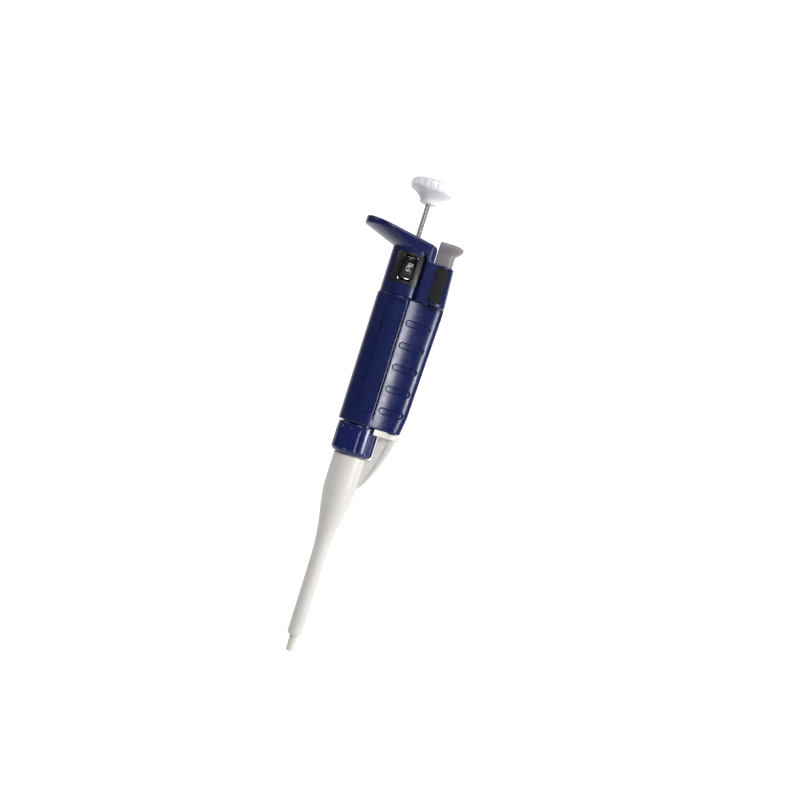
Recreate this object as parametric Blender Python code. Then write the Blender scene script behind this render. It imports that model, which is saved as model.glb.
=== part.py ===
"""A hand-held adjustable micropipette, built piece by piece.

Sizes are in millimetres. Heights are measured up the plunger axis from the open end of the tip cone.
+X points from the axis to the ejector, -X to the finger hook, and -Y to the side with the volume window.
The whole assembly hangs from one empty, so that the scene's origin is where a stand's fork holds the pipette.
"""
import math

import bmesh
import bpy
from mathutils import Vector

MM = 0.001

# Clearances
FIT_GAP = 0.3  # between pieces that seat on each other
SLIDE_GAP = 0.35  # between pieces that slide past each other
DEEP = 1.0  # how far a cutter runs past the face that it opens

# Roundness
FINE_STEPS = 30
ROUND_STEPS = 20
SMALL_STEPS = 12
ARC_STEPS = 3
FLARE_STEPS = 6

# Travels
PLUNGER_TRAVEL = 13.0  # from rest to the first stop
BLOW_OUT_TRAVEL = 2.5  # from the first stop to the second
EJECTOR_TRAVEL = 6.5

# Tip cone and lower shaft
CONE_END_R = 1.3
CONE_ROUND = 0.6
CONE_LOW_R = 1.78
CONE_HIGH_R = 2.1
CHANNEL_R = 0.8
CYLINDER_FLOOR_Z = 60.0
CYLINDER_TOP_Z = 82.0
SHAFT_TOP_Z = 105.0
SHAFT_FLANGE_HEIGHT = 2.5
SHAFT_ROOM_R = 5.5

# Ejector sleeve, part of the arm
SLEEVE_BOTTOM_Z = 8.3
SLEEVE_TOP_Z = 99.8
SLEEVE_LOW_R = 3.65
SLEEVE_HIGH_R = 8.05
SLEEVE_FLARE_FROM_Z = 45.0
SLEEVE_FLARE_TO_Z = 85.0
SLEEVE_FLARE_SKEW = 1.3
SLEEVE_WALL = 0.9
SLEEVE_TO_SHAFT = 0.45

# Ejector arm
WEB_HALF_THICKNESS = 1.9
SPINE_HALF_THICKNESS = 3.4
SPINE_WIDTH = 4.5
SPINE_FOOT_WIDTH = 0.75
ARM_OUTER_X = 19.8
ARM_FOOT_Z = 84.5
PLATFORM_THICKNESS = 2.8
PLATFORM_TO_X = 20.5
PLATFORM_HALF_WIDTH = 7.1
PLATFORM_ROUND = 4.5
ROD_SOCKET_DEPTH = 1.6

# Collar nut
COLLAR_R = 10.2
COLLAR_BOTTOM_Z = 100.1
COLLAR_TOP_Z = 115.0
COLLAR_ROUND = 2.3
COLLAR_LIP = 2.1
COLLAR_WALL = 1.5
FLUTES = 12
FLUTE_R = 1.15
FLUTE_DEPTH = 0.5
FLUTE_FROM_Z = 101.5
FLUTE_TO_Z = 113.3
FLUTE_START_DEG = -77.0

# Grip body
BARREL_R = 10.9
BARREL_WALL = 2.3
GRIP_BOTTOM_Z = 115.7
GRIP_TOP_Z = 180.3
GRIP_FLOOR_Z = 117.0
NECK_WALL = 1.5
RAIL_HALF_WIDTH = 11.0
RAIL_FRONT_LOW_X = 20.1
RAIL_FRONT_HIGH_X = 22.8
RAIL_FRONT_MID_X = 21.3
RAIL_MID_Z = 125.0
RAIL_HIGH_Z = 176.0
RAIL_SHAPE = 2.6
SEAM_X = 5.3
SEAM_DEPTH = 0.7
GRIP_EDGE = 0.6
FINGER_GROOVES = 5
FINGER_GROOVE_PITCH = 11.0
FINGER_GROOVE_Z = 125.0
FINGER_GROOVE_HEIGHT = 3.4
FINGER_GROOVE_DEPTH = 0.7
FINGER_GROOVE_FROM_X = 7.0
FINGER_GROOVE_TO_X = 19.4

# Side panel
PANEL_FROM_X = -4.0
PANEL_TO_X = 4.4
PANEL_BOTTOM_Z = 122.4
PANEL_TOP_Z = 178.0
PANEL_THICKNESS = 1.0
PANEL_PROUD = 0.1
PANEL_ROUND = 1.4

# Upper housing
CORE_R = 10.2
CORE_WALL = 1.5
SHELF_Z = 200.3
HEAD_BOTTOM_Z = 203.9
HOUSING_FRONT_X = 21.6
STRIP_FROM_X = 7.75
STRIP_STEP = 0.6
STRIP_CORNER = 4.0
HEAD_RIGHT_X = 11.2
HEAD_RIGHT_ROUND = 2.6
HEAD_CORNER = 5.0
HOOK_END_X = -26.7
HOOK_END_R = 13.0
HOOK_RIM_Z = 210.0  # the rim's lower edge is level, so the rim is deepest at the hook's end
HOOK_SLOPE = 0.16  # fall of the sloping top per millimetre of +X
HOOK_TOP_AT_AXIS = 209.9
HOOK_FACET_DEG = 5.0  # half of the flat that runs down the middle of the hook's underside
HEAD_EDGE = 1.0
BOSS_R = 2.9
BOSS_HEIGHT = 0.8
COUNTER_ROOM_TOP_Z = 203.0

# Grip pads
PAD_FROM_X = 13.5
PAD_TO_X = 20.0
PAD_BOTTOM_Z = 181.8
PAD_TOP_Z = 199.3
PAD_ROUND = 1.5
PAD_THICKNESS = 0.8

# Volume window
WINDOW_HALF_WIDTH = 3.6
WINDOW_BOTTOM_Z = 187.9
WINDOW_TOP_Z = 200.1
BEZEL_BORDER = 3.4
BEZEL_BORDER_Z = 1.3
BEZEL_THICKNESS = 0.6
BEZEL_PROUD = 0.2
BEZEL_ROUND = 1.5
LENS_LAP = 0.6
LENS_THICKNESS = 0.5

# Counter
DRUM_HEIGHT = 4.6
DRUM_BOTTOM_Z = 186.7
DRUM_TEETH = 20
DRUM_TOOTH = 0.7
DRUM_GEAR_HEIGHT = 1.2
PINION_TEETH = 8
PINION_TOOTH = 0.45
PINION_HEIGHT = 2.5
PINION_R = 1.42
COUNTER_AXLE_R = 0.5
COUNTER_AXLE_DEG = 28.5  # where the pinions stand round the drums, from +X
AXLE_SEAT = 1.2

# Volume screw
SCREW_R = 4.4
SCREW_FLANGE_HEIGHT = 1.2
NUT_BOTTOM_Z = 150.0
NUT_HEIGHT = 8.0

# Plunger rod and button
ROD_R = 1.18
HEX_CORNER_R = 2.2
HEX_TOP_Z = 190.0
ROD_BOTTOM_Z = 115.3
BUSH_R = 1.95
BUSH_HEIGHT = 6.0
BUTTON_R = 11.1
BUTTON_BOTTOM_Z = 227.5
BUTTON_HEIGHT = 11.9
BUTTON_CAP = 4.1  # from the rim's lower edge to the top
BUTTON_ROOF = 5.4  # from the rod's socket to the top
BUTTON_HUB_R = 4.25
BUTTON_NOTCHES = 20
BUTTON_NOTCH_R = 0.8
BUTTON_NOTCH_DEPTH = 0.4
STOP_RING_R = 4.3
STOP_RING_HEIGHT = 3.0

# Piston
PISTON_R = 2.2
PISTON_BOTTOM_Z = 78.0
PISTON_CAP_HEIGHT = 3.0
SEAL_WIRE_R = 0.75
SEAL_RETAINER_HEIGHT = 3.6
STOP_WASHER_HEIGHT = 2.0
STOP_WASHER_BOTTOM_Z = 124.3

# Springs
PISTON_SPRING_WIRE = 0.45
PISTON_SPRING_TURNS = 6
BLOW_OUT_SPRING_WIRE = 0.75
BLOW_OUT_SPRING_TURNS = 3
EJECTOR_SPRING_R = 2.8
EJECTOR_SPRING_WIRE = 0.3
EJECTOR_SPRING_TURNS = 6
SPRING_STEPS = 8

# Ejector button and rod
EJECTOR_X = 16.2
EJECTOR_ROD_R = 2.0
EJECTOR_SPRING_FLOOR_Z = 150.0
ROD_CLIP_HEIGHT = 1.5
BUTTON_LEFT_X = 11.45
BUTTON_FRONT_X = 20.3
BUTTON_FOOT_Z = 198.0
BUTTON_HALF_WIDTH = 5.0
BUTTON_FRONT_ROUND = 3.4
BUTTON_BACK_ROUND = 0.6
BUTTON_LIP_Z = 210.4
BUTTON_LIP_FRONT_X = 23.4
BUTTON_LIP_HALF_WIDTH = 6.6
BUTTON_CROWN_Z = 212.0
BUTTON_FLARE_Z = 206.8
EJECTOR_SOCKET_DEPTH = 4.0

# Sizes that follow from those above
COLLAR_BORE_R = COLLAR_R - COLLAR_WALL
SHAFT_FLANGE_R = COLLAR_BORE_R - FIT_GAP
NECK_R = COLLAR_BORE_R - FIT_GAP
SHAFT_HIGH_R = SLEEVE_HIGH_R - SLEEVE_WALL - SLEEVE_TO_SHAFT
BARREL_BORE_R = BARREL_R - BARREL_WALL
STOP_WASHER_R = BARREL_BORE_R - SLIDE_GAP
BLOW_OUT_SPRING_R = BARREL_BORE_R - BLOW_OUT_SPRING_WIRE - 2 * FIT_GAP
CORE_BORE_R = CORE_R - CORE_WALL
SCREW_FLANGE_R = CORE_BORE_R - 2 * SLIDE_GAP
DRUM_R = CORE_BORE_R - SLIDE_GAP
PISTON_SPRING_R = SHAFT_ROOM_R - 2 * SLIDE_GAP - PISTON_SPRING_WIRE
BUTTON_TOP_Z = BUTTON_BOTTOM_Z + BUTTON_HEIGHT
BUTTON_RIM_Z = BUTTON_TOP_Z - BUTTON_CAP
BUTTON_SOCKET_Z = BUTTON_TOP_Z - BUTTON_ROOF
HOUSING_BOTTOM_Z = GRIP_TOP_Z + FIT_GAP
PLATFORM_TOP_Z = GRIP_BOTTOM_Z - FIT_GAP
PLATFORM_BOTTOM_Z = PLATFORM_TOP_Z - PLATFORM_THICKNESS
WEB_FROM_X = COLLAR_R + SLIDE_GAP
HUNDREDS_TOP_Z = DRUM_BOTTOM_Z + 3 * DRUM_HEIGHT + 2 * FIT_GAP
SCREW_TOP_Z = COUNTER_ROOM_TOP_Z - FIT_GAP
PISTON_CAP_TOP_Z = ROD_BOTTOM_Z - FIT_GAP
STOP_RING_BOTTOM_Z = STOP_WASHER_BOTTOM_Z + STOP_WASHER_HEIGHT + FIT_GAP + PLUNGER_TRAVEL
SCREW_BOTTOM_Z = STOP_RING_BOTTOM_Z + STOP_RING_HEIGHT + FIT_GAP
PISTON_CAP_R = SHAFT_ROOM_R - SLIDE_GAP
COUNTER_AXLE_REACH = DRUM_R + FIT_GAP + PINION_R
COUNTER_AXLE_X = COUNTER_AXLE_REACH * math.cos(math.radians(COUNTER_AXLE_DEG))
COUNTER_AXLE_Y = COUNTER_AXLE_REACH * math.sin(math.radians(COUNTER_AXLE_DEG))
HANG_Z = HEAD_BOTTOM_Z

for old in list(bpy.data.objects):
    bpy.data.objects.remove(old, do_unlink=True)

frame = bpy.data.objects.new("tip_end", None)
frame.location = (0.0, 0.0, -HANG_Z * MM)
bpy.context.scene.collection.objects.link(frame)


def finish(name, colour, roughness, metallic=0.0, alpha=1.0):
    """A plain material: base colour, roughness and metallic value."""
    material = bpy.data.materials.new(name)
    material.use_nodes = True
    shader = material.node_tree.nodes["Principled BSDF"]
    shader.inputs["Base Color"].default_value = (*colour, 1.0)
    shader.inputs["Roughness"].default_value = roughness
    shader.inputs["Metallic"].default_value = metallic
    shader.inputs["Alpha"].default_value = alpha
    material.diffuse_color = (*colour, alpha)
    return material


BLUE = finish("blue_body_plastic", (0.022, 0.032, 0.17), 0.45)
BLUE_COLLAR = finish("blue_collar_plastic", (0.018, 0.026, 0.15), 0.3)
BLUE_PANEL = finish("blue_panel_plastic", (0.022, 0.032, 0.17), 0.45)
BLACK_RUBBER = finish("black_rubber", (0.012, 0.012, 0.014), 0.8)
BLACK_PLASTIC = finish("black_plastic", (0.015, 0.015, 0.017), 0.4)
CLEAR_PLASTIC = finish("clear_plastic", (0.8, 0.85, 0.9), 0.08, alpha=0.35)
WHITE_PLASTIC = finish("white_plastic", (0.7, 0.7, 0.7), 0.4)
CONE_PLASTIC = finish("tip_cone_plastic", (0.62, 0.6, 0.55), 0.4)
GREY_PLASTIC = finish("grey_plastic", (0.3, 0.31, 0.34), 0.45)
DRUM_PLASTIC = finish("drum_plastic", (0.03, 0.03, 0.035), 0.5)
STEEL = finish("polished_steel", (0.62, 0.62, 0.62), 0.25, 1.0)
SPRING_STEEL = finish("spring_steel", (0.45, 0.45, 0.46), 0.35, 1.0)
BRASS = finish("brass", (0.65, 0.45, 0.16), 0.35, 1.0)
SEAL_RUBBER = finish("seal_rubber", (0.03, 0.03, 0.03), 0.7)


def place(name, data, material, x=0.0, y=0.0):
    """Link new data as an object whose origin is at x, y and the tip end's height."""
    piece = bpy.data.objects.new(name, data)
    piece.parent = frame
    piece.location = (x * MM, y * MM, 0.0)
    if material:
        data.materials.append(material)
    else:
        piece.hide_render = True
        piece.display_type = "WIRE"
    bpy.context.scene.collection.objects.link(piece)
    return piece


def to_mesh(name, shape, smooth=True):
    """Turn a bmesh into a mesh with outward normals and smooth round faces."""
    bmesh.ops.recalc_face_normals(shape, faces=shape.faces)
    mesh = bpy.data.meshes.new(name)
    shape.to_mesh(mesh)
    shape.free()
    if smooth:
        mesh.shade_smooth()
        mesh.set_sharp_from_angle(angle=math.radians(35))
    return mesh


def turned(name, outline, material=None, x=0.0, y=0.0, steps=ROUND_STEPS):
    """Spin a closed outline of (radius, height) points about the piece's own vertical axis."""
    shape = bmesh.new()
    points = [shape.verts.new((r * MM, 0.0, z * MM)) for r, z in outline]
    for i, (r, _) in enumerate(outline):
        if r > 0 or outline[i - 1][0] > 0:
            shape.edges.new((points[i - 1], points[i]))
    bmesh.ops.spin(
        shape, geom=shape.verts[:] + shape.edges[:], cent=(0, 0, 0), axis=(0, 0, 1),
        angle=2 * math.pi, steps=steps, use_merge=True, use_duplicate=False,
    )
    bmesh.ops.remove_doubles(shape, verts=shape.verts, dist=1e-7)
    return place(name, to_mesh(name, shape), material, x, y)


def tube(name, inner, outer, low, high, material=None, x=0.0, y=0.0, steps=ROUND_STEPS):
    """A plain ring, or a plain disc where the inner radius is 0."""
    outline = [(inner, low), (outer, low), (outer, high), (inner, high)]
    return turned(name, outline, material, x, y, steps)


def lofted(name, sections, material=None, x=0.0):
    """Bridge closed sections, each a list of (x, y, z) points, and cap both ends."""
    shape = bmesh.new()
    rings = [[shape.verts.new(Vector(p) * MM) for p in section] for section in sections]
    for low, high in zip(rings, rings[1:]):
        for i in range(len(low)):
            shape.faces.new((low[i - 1], low[i], high[i], high[i - 1]))
    shape.faces.new(rings[0][::-1])
    shape.faces.new(rings[-1])
    return place(name, to_mesh(name, shape), material, x)


def prism(name, outline, low, high, along="Z", material=None, x=0.0, y=0.0):
    """Extrude a flat outline up Z, or an (x, z) outline along Y."""
    shape = bmesh.new()
    if along == "Z":
        points = [(u, v, low) for u, v in outline]
        way = (0.0, 0.0, (high - low) * MM)
    else:
        points = [(u, low, v) for u, v in outline]
        way = (0.0, (high - low) * MM, 0.0)
    face = shape.faces.new([shape.verts.new(Vector(p) * MM) for p in points])
    grown = bmesh.ops.extrude_face_region(shape, geom=[face])["geom"]
    moved = [v for v in grown if isinstance(v, bmesh.types.BMVert)]
    bmesh.ops.translate(shape, verts=moved, vec=way)
    return place(name, to_mesh(name, shape), material, x, y)


def rounded_box(from_u, to_u, from_v, to_v, radius, steps=ARC_STEPS):
    """The points of a rectangle with round corners, anticlockwise."""
    corners = [
        (to_u - radius, from_v + radius, -90), (to_u - radius, to_v - radius, 0),
        (from_u + radius, to_v - radius, 90), (from_u + radius, from_v + radius, 180),
    ]
    points = []
    for u, v, start in corners:
        for i in range(steps + 1):
            angle = math.radians(start + 90 * i / steps)
            points.append((u + radius * math.cos(angle), v + radius * math.sin(angle)))
    return points


def arc(centre_u, centre_v, radius, from_deg, to_deg, steps):
    """Points along an arc, both ends included."""
    angles = [math.radians(from_deg + (to_deg - from_deg) * i / steps) for i in range(steps + 1)]
    return [(centre_u + radius * math.cos(a), centre_v + radius * math.sin(a)) for a in angles]


def combine(piece, other, how="DIFFERENCE"):
    """Cut a piece with another object, or join or intersect the two."""
    step = piece.modifiers.new(other.name, "BOOLEAN")
    step.operation = how
    step.solver = "EXACT"
    step.object = other
    return piece


def soften(piece, width, steps=2, angle=40):
    """Round the sharp edges of a piece."""
    step = piece.modifiers.new("soft edges", "BEVEL")
    step.width = width * MM
    step.segments = steps
    step.limit_method = "ANGLE"
    step.angle_limit = math.radians(angle)
    return piece


def shade(piece):
    """Smooth shading for what a boolean or a bevel leaves."""
    step = piece.modifiers.new("weighted normals", "WEIGHTED_NORMAL")
    step.keep_sharp = True
    return piece


def spring(name, radius, wire, turns, low, high, x=0.0):
    """A round wire coil from low to high, its wire's outside on both heights."""
    curve = bpy.data.curves.new(name, "CURVE")
    curve.dimensions = "3D"
    curve.bevel_depth = wire * MM
    curve.bevel_resolution = 1
    curve.use_fill_caps = True
    count = turns * SPRING_STEPS + 1
    line = curve.splines.new("POLY")
    line.points.add(count - 1)
    for i, point in enumerate(line.points):
        turn = 2 * math.pi * i / SPRING_STEPS
        height = low + wire + (high - low - 2 * wire) * i / (count - 1)
        spot = (radius * math.cos(turn) * MM, radius * math.sin(turn) * MM, height * MM, 1.0)
        point.co = spot
    return place(name, curve, SPRING_STEEL, x)


def gear_outline(tip, depth, teeth):
    """A simple toothed wheel: narrow tips, wide roots."""
    points = []
    for i in range(teeth):
        for share, radius in ((0.0, tip - depth), (0.33, tip), (0.67, tip)):
            angle = 2 * math.pi * (i + share) / teeth
            points.append((radius * math.cos(angle), radius * math.sin(angle)))
    return points


# The tip cone and shaft, with the sleeve that slides on it

def sleeve_radius(z):
    """The sleeve's outer radius: a slim tube that flares into a wide one."""
    share = (z - SLEEVE_FLARE_FROM_Z) / (SLEEVE_FLARE_TO_Z - SLEEVE_FLARE_FROM_Z)
    share = min(max(share, 0.0), 1.0) ** SLEEVE_FLARE_SKEW
    return SLEEVE_LOW_R + (SLEEVE_HIGH_R - SLEEVE_LOW_R) * share * share * (3 - 2 * share)


def flare(offset):
    """Points down the flare, from top to bottom, with the radius less an offset."""
    step = (SLEEVE_FLARE_TO_Z - SLEEVE_FLARE_FROM_Z) / FLARE_STEPS
    heights = [SLEEVE_FLARE_TO_Z - step * i for i in range(FLARE_STEPS + 1)]
    return [(sleeve_radius(z) - offset, z) for z in heights]


def tip_cone_shaft():
    """One moulding: the tip cone below, the cylinder for the piston, and the room for its spring."""
    flange_z = SHAFT_TOP_Z - SHAFT_FLANGE_HEIGHT
    low_r = SLEEVE_LOW_R - SLEEVE_WALL - SLEEVE_TO_SHAFT
    cylinder_r = PISTON_R + FIT_GAP
    outside = [(SHAFT_FLANGE_R, SHAFT_TOP_Z), (SHAFT_FLANGE_R, flange_z), (SHAFT_HIGH_R, flange_z)]
    outside += flare(SLEEVE_WALL + SLEEVE_TO_SHAFT)
    outside += [
        (low_r, SLEEVE_BOTTOM_Z + 2 * DEEP), (CONE_HIGH_R, SLEEVE_BOTTOM_Z),
        (CONE_LOW_R, CONE_ROUND + DEEP), (CONE_LOW_R - 0.15, CONE_ROUND / 2), (CONE_END_R, 0.0),
    ]
    inside = [
        (CHANNEL_R, 0.0), (CHANNEL_R, CYLINDER_FLOOR_Z - 1.5), (cylinder_r, CYLINDER_FLOOR_Z),
        (cylinder_r, CYLINDER_TOP_Z), (SHAFT_ROOM_R, CYLINDER_TOP_Z), (SHAFT_ROOM_R, SHAFT_TOP_Z),
    ]
    return turned("tip_cone_shaft", outside + inside, CONE_PLASTIC, steps=FINE_STEPS)


def arm_contour():
    """The arm's outer edge as (x, z), from the sleeve up to the platform: a lazy S."""
    start = Vector((SLEEVE_HIGH_R, ARM_FOOT_Z))
    end = Vector((ARM_OUTER_X, PLATFORM_BOTTOM_Z + DEEP))
    leave = start + Vector((5.0, 6.2))
    arrive = end - Vector((2.4, 13.0))
    points = []
    for i in range(9):
        t = i / 8
        spot = start * (1 - t) ** 3 + leave * 3 * t * (1 - t) ** 2
        spot += arrive * 3 * t * t * (1 - t) + end * t ** 3
        points.append((spot.x, spot.y))
    return points


def spine_sections(contour):
    """Oval sections along the arm's outer edge, slim at the sleeve and full at the platform."""
    sections = []
    last = len(contour) - 1
    for i, (x, z) in enumerate(contour):
        before, after = contour[max(i - 1, 0)], contour[min(i + 1, last)]
        way = Vector((after[0] - before[0], after[1] - before[1])).normalized()
        if i == last:
            way = Vector((0.0, 1.0))
        share = i / last
        width = SPINE_FOOT_WIDTH + (SPINE_WIDTH - SPINE_FOOT_WIDTH) * share
        half = WEB_HALF_THICKNESS + (SPINE_HALF_THICKNESS - WEB_HALF_THICKNESS) * min(3 * share, 1.0)
        section = []
        for k in range(12):
            angle = 2 * math.pi * k / 12
            out, side = math.cos(angle), math.sin(angle)
            inward = width / 2 * (1 - abs(out) ** 0.8 * math.copysign(1, out))
            section.append((x - way.y * inward, half * side, z + way.x * inward))
        sections.append(section)
    return sections


def ejector_arm():
    """One moulding: the sleeve on the shaft, a web and spine beside the collar, and the platform."""
    outside = [(sleeve_radius(SLEEVE_TOP_Z), SLEEVE_TOP_Z)] + flare(0.0)
    outside += [(SLEEVE_LOW_R, SLEEVE_BOTTOM_Z + 0.5), (SLEEVE_LOW_R - 0.4, SLEEVE_BOTTOM_Z)]
    bore_low_r = SLEEVE_LOW_R - SLEEVE_WALL
    inside = [(bore_low_r, SLEEVE_BOTTOM_Z)] + flare(SLEEVE_WALL)[::-1]
    inside += [(SLEEVE_HIGH_R - SLEEVE_WALL, SLEEVE_TOP_Z)]
    arm = turned("ejector_arm", outside + inside, WHITE_PLASTIC, steps=FINE_STEPS)

    contour = arm_contour()
    inner_x = SLEEVE_HIGH_R - SLEEVE_WALL / 2
    web_outline = contour + [
        (WEB_FROM_X, PLATFORM_BOTTOM_Z + DEEP), (WEB_FROM_X, SLEEVE_TOP_Z), (inner_x, SLEEVE_TOP_Z),
        (inner_x, ARM_FOOT_Z),
    ]
    web = prism("web_shape", web_outline, -WEB_HALF_THICKNESS, WEB_HALF_THICKNESS, "Y")
    spine = lofted("spine_shape", spine_sections(contour))
    plate_outline = rounded_box(
        STRIP_FROM_X, PLATFORM_TO_X, -PLATFORM_HALF_WIDTH, PLATFORM_HALF_WIDTH, PLATFORM_ROUND)
    plate_outline = [(x if x > EJECTOR_X else max(x, STRIP_FROM_X), y) for x, y in plate_outline]
    plate = prism("platform_shape", plate_outline, PLATFORM_BOTTOM_Z, PLATFORM_TOP_Z)
    soften(plate, 0.6, 2, 50)
    for shape in (web, spine, plate):
        combine(arm, shape, "UNION")
    top = PLATFORM_TOP_Z + DEEP
    combine(arm, tube("collar_room", 0, WEB_FROM_X, SLEEVE_TOP_Z, top, steps=FINE_STEPS))
    socket_z = PLATFORM_TOP_Z - ROD_SOCKET_DEPTH
    socket = tube("arm_socket", 0, EJECTOR_ROD_R + FIT_GAP, socket_z, top, x=EJECTOR_X, steps=SMALL_STEPS)
    return shade(combine(arm, socket))


def collar_nut():
    """The round nut that clamps the shaft's flange against the grip body's neck."""
    corner = arc(COLLAR_R - COLLAR_ROUND, COLLAR_BOTTOM_Z + COLLAR_ROUND, COLLAR_ROUND, 0, -90, 4)
    lip_r = SHAFT_HIGH_R + FIT_GAP
    lip_z = COLLAR_BOTTOM_Z + COLLAR_LIP
    edge = 0.4
    outline = [(COLLAR_R - edge, COLLAR_TOP_Z), (COLLAR_R, COLLAR_TOP_Z - edge)] + corner + [
        (lip_r, COLLAR_BOTTOM_Z), (lip_r, lip_z), (COLLAR_BORE_R, lip_z), (COLLAR_BORE_R, COLLAR_TOP_Z)]
    nut = turned("collar_nut", outline, BLUE_COLLAR, steps=FINE_STEPS)
    profile = arc(0, FLUTE_TO_Z - FLUTE_R, FLUTE_R, 90, 0, ARC_STEPS)
    profile += arc(0, FLUTE_FROM_Z + FLUTE_R, FLUTE_R, 0, -90, ARC_STEPS)
    profile[0] = (0.0, FLUTE_TO_Z)
    profile[-1] = (0.0, FLUTE_FROM_Z)
    reach = COLLAR_R + FLUTE_R - FLUTE_DEPTH
    for i in range(FLUTES):
        angle = math.radians(FLUTE_START_DEG + 360 * i / FLUTES)
        flute = turned(
            f"flute_{i + 1}", profile, None, reach * math.sin(angle), -reach * math.cos(angle), 8)
        combine(nut, flute)
    return shade(nut)


# The grip body

def rail_side(front_x, half_width, from_x, steps=7):
    """The rail's near side, from its start to the front centre: a squarish curve."""
    points = []
    for i in range(steps + 1):
        angle = math.radians(-90 + 90 * i / steps)
        x = from_x + (front_x - from_x) * math.cos(angle) ** (2 / RAIL_SHAPE)
        y = -half_width * abs(math.sin(angle)) ** (2 / RAIL_SHAPE)
        points.append((x, y if i < steps else 0.0))
    return points


def grip_section(front_x, inset=0.0, seam=SEAM_DEPTH):
    """Barrel and rail in one plan outline, with a seam groove where they meet."""
    radius = BARREL_R - inset
    width = RAIL_HALF_WIDTH - inset
    seam_from = SEAM_X - 0.4
    end_angle = 360 - math.degrees(math.acos(seam_from / radius))
    near = arc(0, 0, radius, 180, end_angle, 10)
    near += [(SEAM_X, near[-1][1] + seam), (SEAM_X + 0.5, -width + 0.7), (SEAM_X + 1.4, -width + 0.15)]
    near += rail_side(front_x - inset, width, SEAM_X + 3.2)
    far = [(x, -y) for x, y in near[1:-1]]
    return near + far[::-1]


def rail_front(z):
    """How far the rail's front stands from the axis at a height."""
    if z < RAIL_MID_Z:
        share = (z - GRIP_BOTTOM_Z) / (RAIL_MID_Z - GRIP_BOTTOM_Z)
        return RAIL_FRONT_LOW_X + (RAIL_FRONT_MID_X - RAIL_FRONT_LOW_X) * share
    share = min((z - RAIL_MID_Z) / (RAIL_HIGH_Z - RAIL_MID_Z), 1.0)
    return RAIL_FRONT_MID_X + (RAIL_FRONT_HIGH_X - RAIL_FRONT_MID_X) * share


def grip_loft(name, inset, low, high, material=None):
    """The grip body's outer form between two heights, its ends eased in by a small edge."""
    heights = [low, low + GRIP_EDGE, RAIL_MID_Z, RAIL_HIGH_Z, high - GRIP_EDGE / 2, high]
    sections = []
    for z in heights:
        ease = {low: GRIP_EDGE, high: GRIP_EDGE / 2}.get(z, 0.0)
        outline = grip_section(rail_front(z), inset + ease)
        sections.append([(x, y, z) for x, y in outline])
    return lofted(name, sections, material)


def grip_body():
    """The lower half of the handle: barrel, ejector rail, finger grooves and threaded neck."""
    body = grip_loft("grip_body", 0.0, GRIP_BOTTOM_Z, GRIP_TOP_Z, BLUE)
    neck_bottom = SHAFT_TOP_Z + FIT_GAP
    neck = tube("neck_shape", 0, NECK_R, neck_bottom, GRIP_BOTTOM_Z + DEEP, steps=FINE_STEPS)
    combine(body, neck, "UNION")

    neck_bore_r = NECK_R - NECK_WALL
    top = GRIP_TOP_Z + DEEP
    bore = turned("barrel_bore", [
        (0, neck_bottom - DEEP), (neck_bore_r, neck_bottom - DEEP), (neck_bore_r, GRIP_FLOOR_Z),
        (BARREL_BORE_R, GRIP_FLOOR_Z), (BARREL_BORE_R, top), (0, top)], steps=FINE_STEPS)
    combine(body, bore)
    guide_r = EJECTOR_ROD_R + SLIDE_GAP
    spring_r = EJECTOR_SPRING_R + EJECTOR_SPRING_WIRE + FIT_GAP
    rod_bore = turned("rail_bore", [
        (0, GRIP_BOTTOM_Z - DEEP), (guide_r, GRIP_BOTTOM_Z - DEEP), (guide_r, EJECTOR_SPRING_FLOOR_Z),
        (spring_r, EJECTOR_SPRING_FLOOR_Z), (spring_r, top), (0, top)], x=EJECTOR_X, steps=SMALL_STEPS)
    combine(body, rod_bore)

    inner = grip_loft("groove_floor", FINGER_GROOVE_DEPTH, GRIP_BOTTOM_Z - DEEP, top)
    half = FINGER_GROOVE_HEIGHT / 2
    for i in range(FINGER_GROOVES):
        middle = FINGER_GROOVE_Z + FINGER_GROOVE_PITCH * i
        outline = rounded_box(
            FINGER_GROOVE_FROM_X, FINGER_GROOVE_TO_X, middle - half, middle + half, half - 0.01)
        groove = prism(f"finger_groove_{i + 1}", outline, -RAIL_HALF_WIDTH - DEEP, RAIL_HALF_WIDTH + DEEP, "Y")
        combine(body, combine(groove, inner))

    floor_r = BARREL_R + PANEL_PROUD - PANEL_THICKNESS - FIT_GAP
    pocket_outline = rounded_box(
        PANEL_FROM_X - FIT_GAP, PANEL_TO_X + FIT_GAP, PANEL_BOTTOM_Z - FIT_GAP, PANEL_TOP_Z + FIT_GAP,
        PANEL_ROUND + FIT_GAP)
    pocket = prism("panel_pocket", pocket_outline, -BARREL_R - DEEP, -BARREL_BORE_R, "Y")
    floor = tube("panel_floor", 0, floor_r, PANEL_BOTTOM_Z - 2 * DEEP, PANEL_TOP_Z + 2 * DEEP, steps=FINE_STEPS)
    combine(body, combine(pocket, floor))
    return shade(body)


def side_panel():
    """The long plate let into the barrel's near side."""
    outline = rounded_box(PANEL_FROM_X, PANEL_TO_X, PANEL_BOTTOM_Z, PANEL_TOP_Z, PANEL_ROUND)
    panel = prism("side_panel", outline, -BARREL_R - DEEP, -BARREL_BORE_R, "Y", BLUE_PANEL)
    outer_r = BARREL_R + PANEL_PROUD
    ring = tube(
        "panel_ring", outer_r - PANEL_THICKNESS, outer_r, PANEL_BOTTOM_Z - DEEP, PANEL_TOP_Z + DEEP,
        steps=FINE_STEPS)
    return shade(combine(panel, ring, "INTERSECT"))


# The upper housing

def housing_front(z):
    """The housing's front goes on up from the rail's, and leans in a little."""
    share = (z - HOUSING_BOTTOM_Z) / (SHELF_Z - HOUSING_BOTTOM_Z)
    return RAIL_FRONT_HIGH_X + (HOUSING_FRONT_X - RAIL_FRONT_HIGH_X) * share


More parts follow.
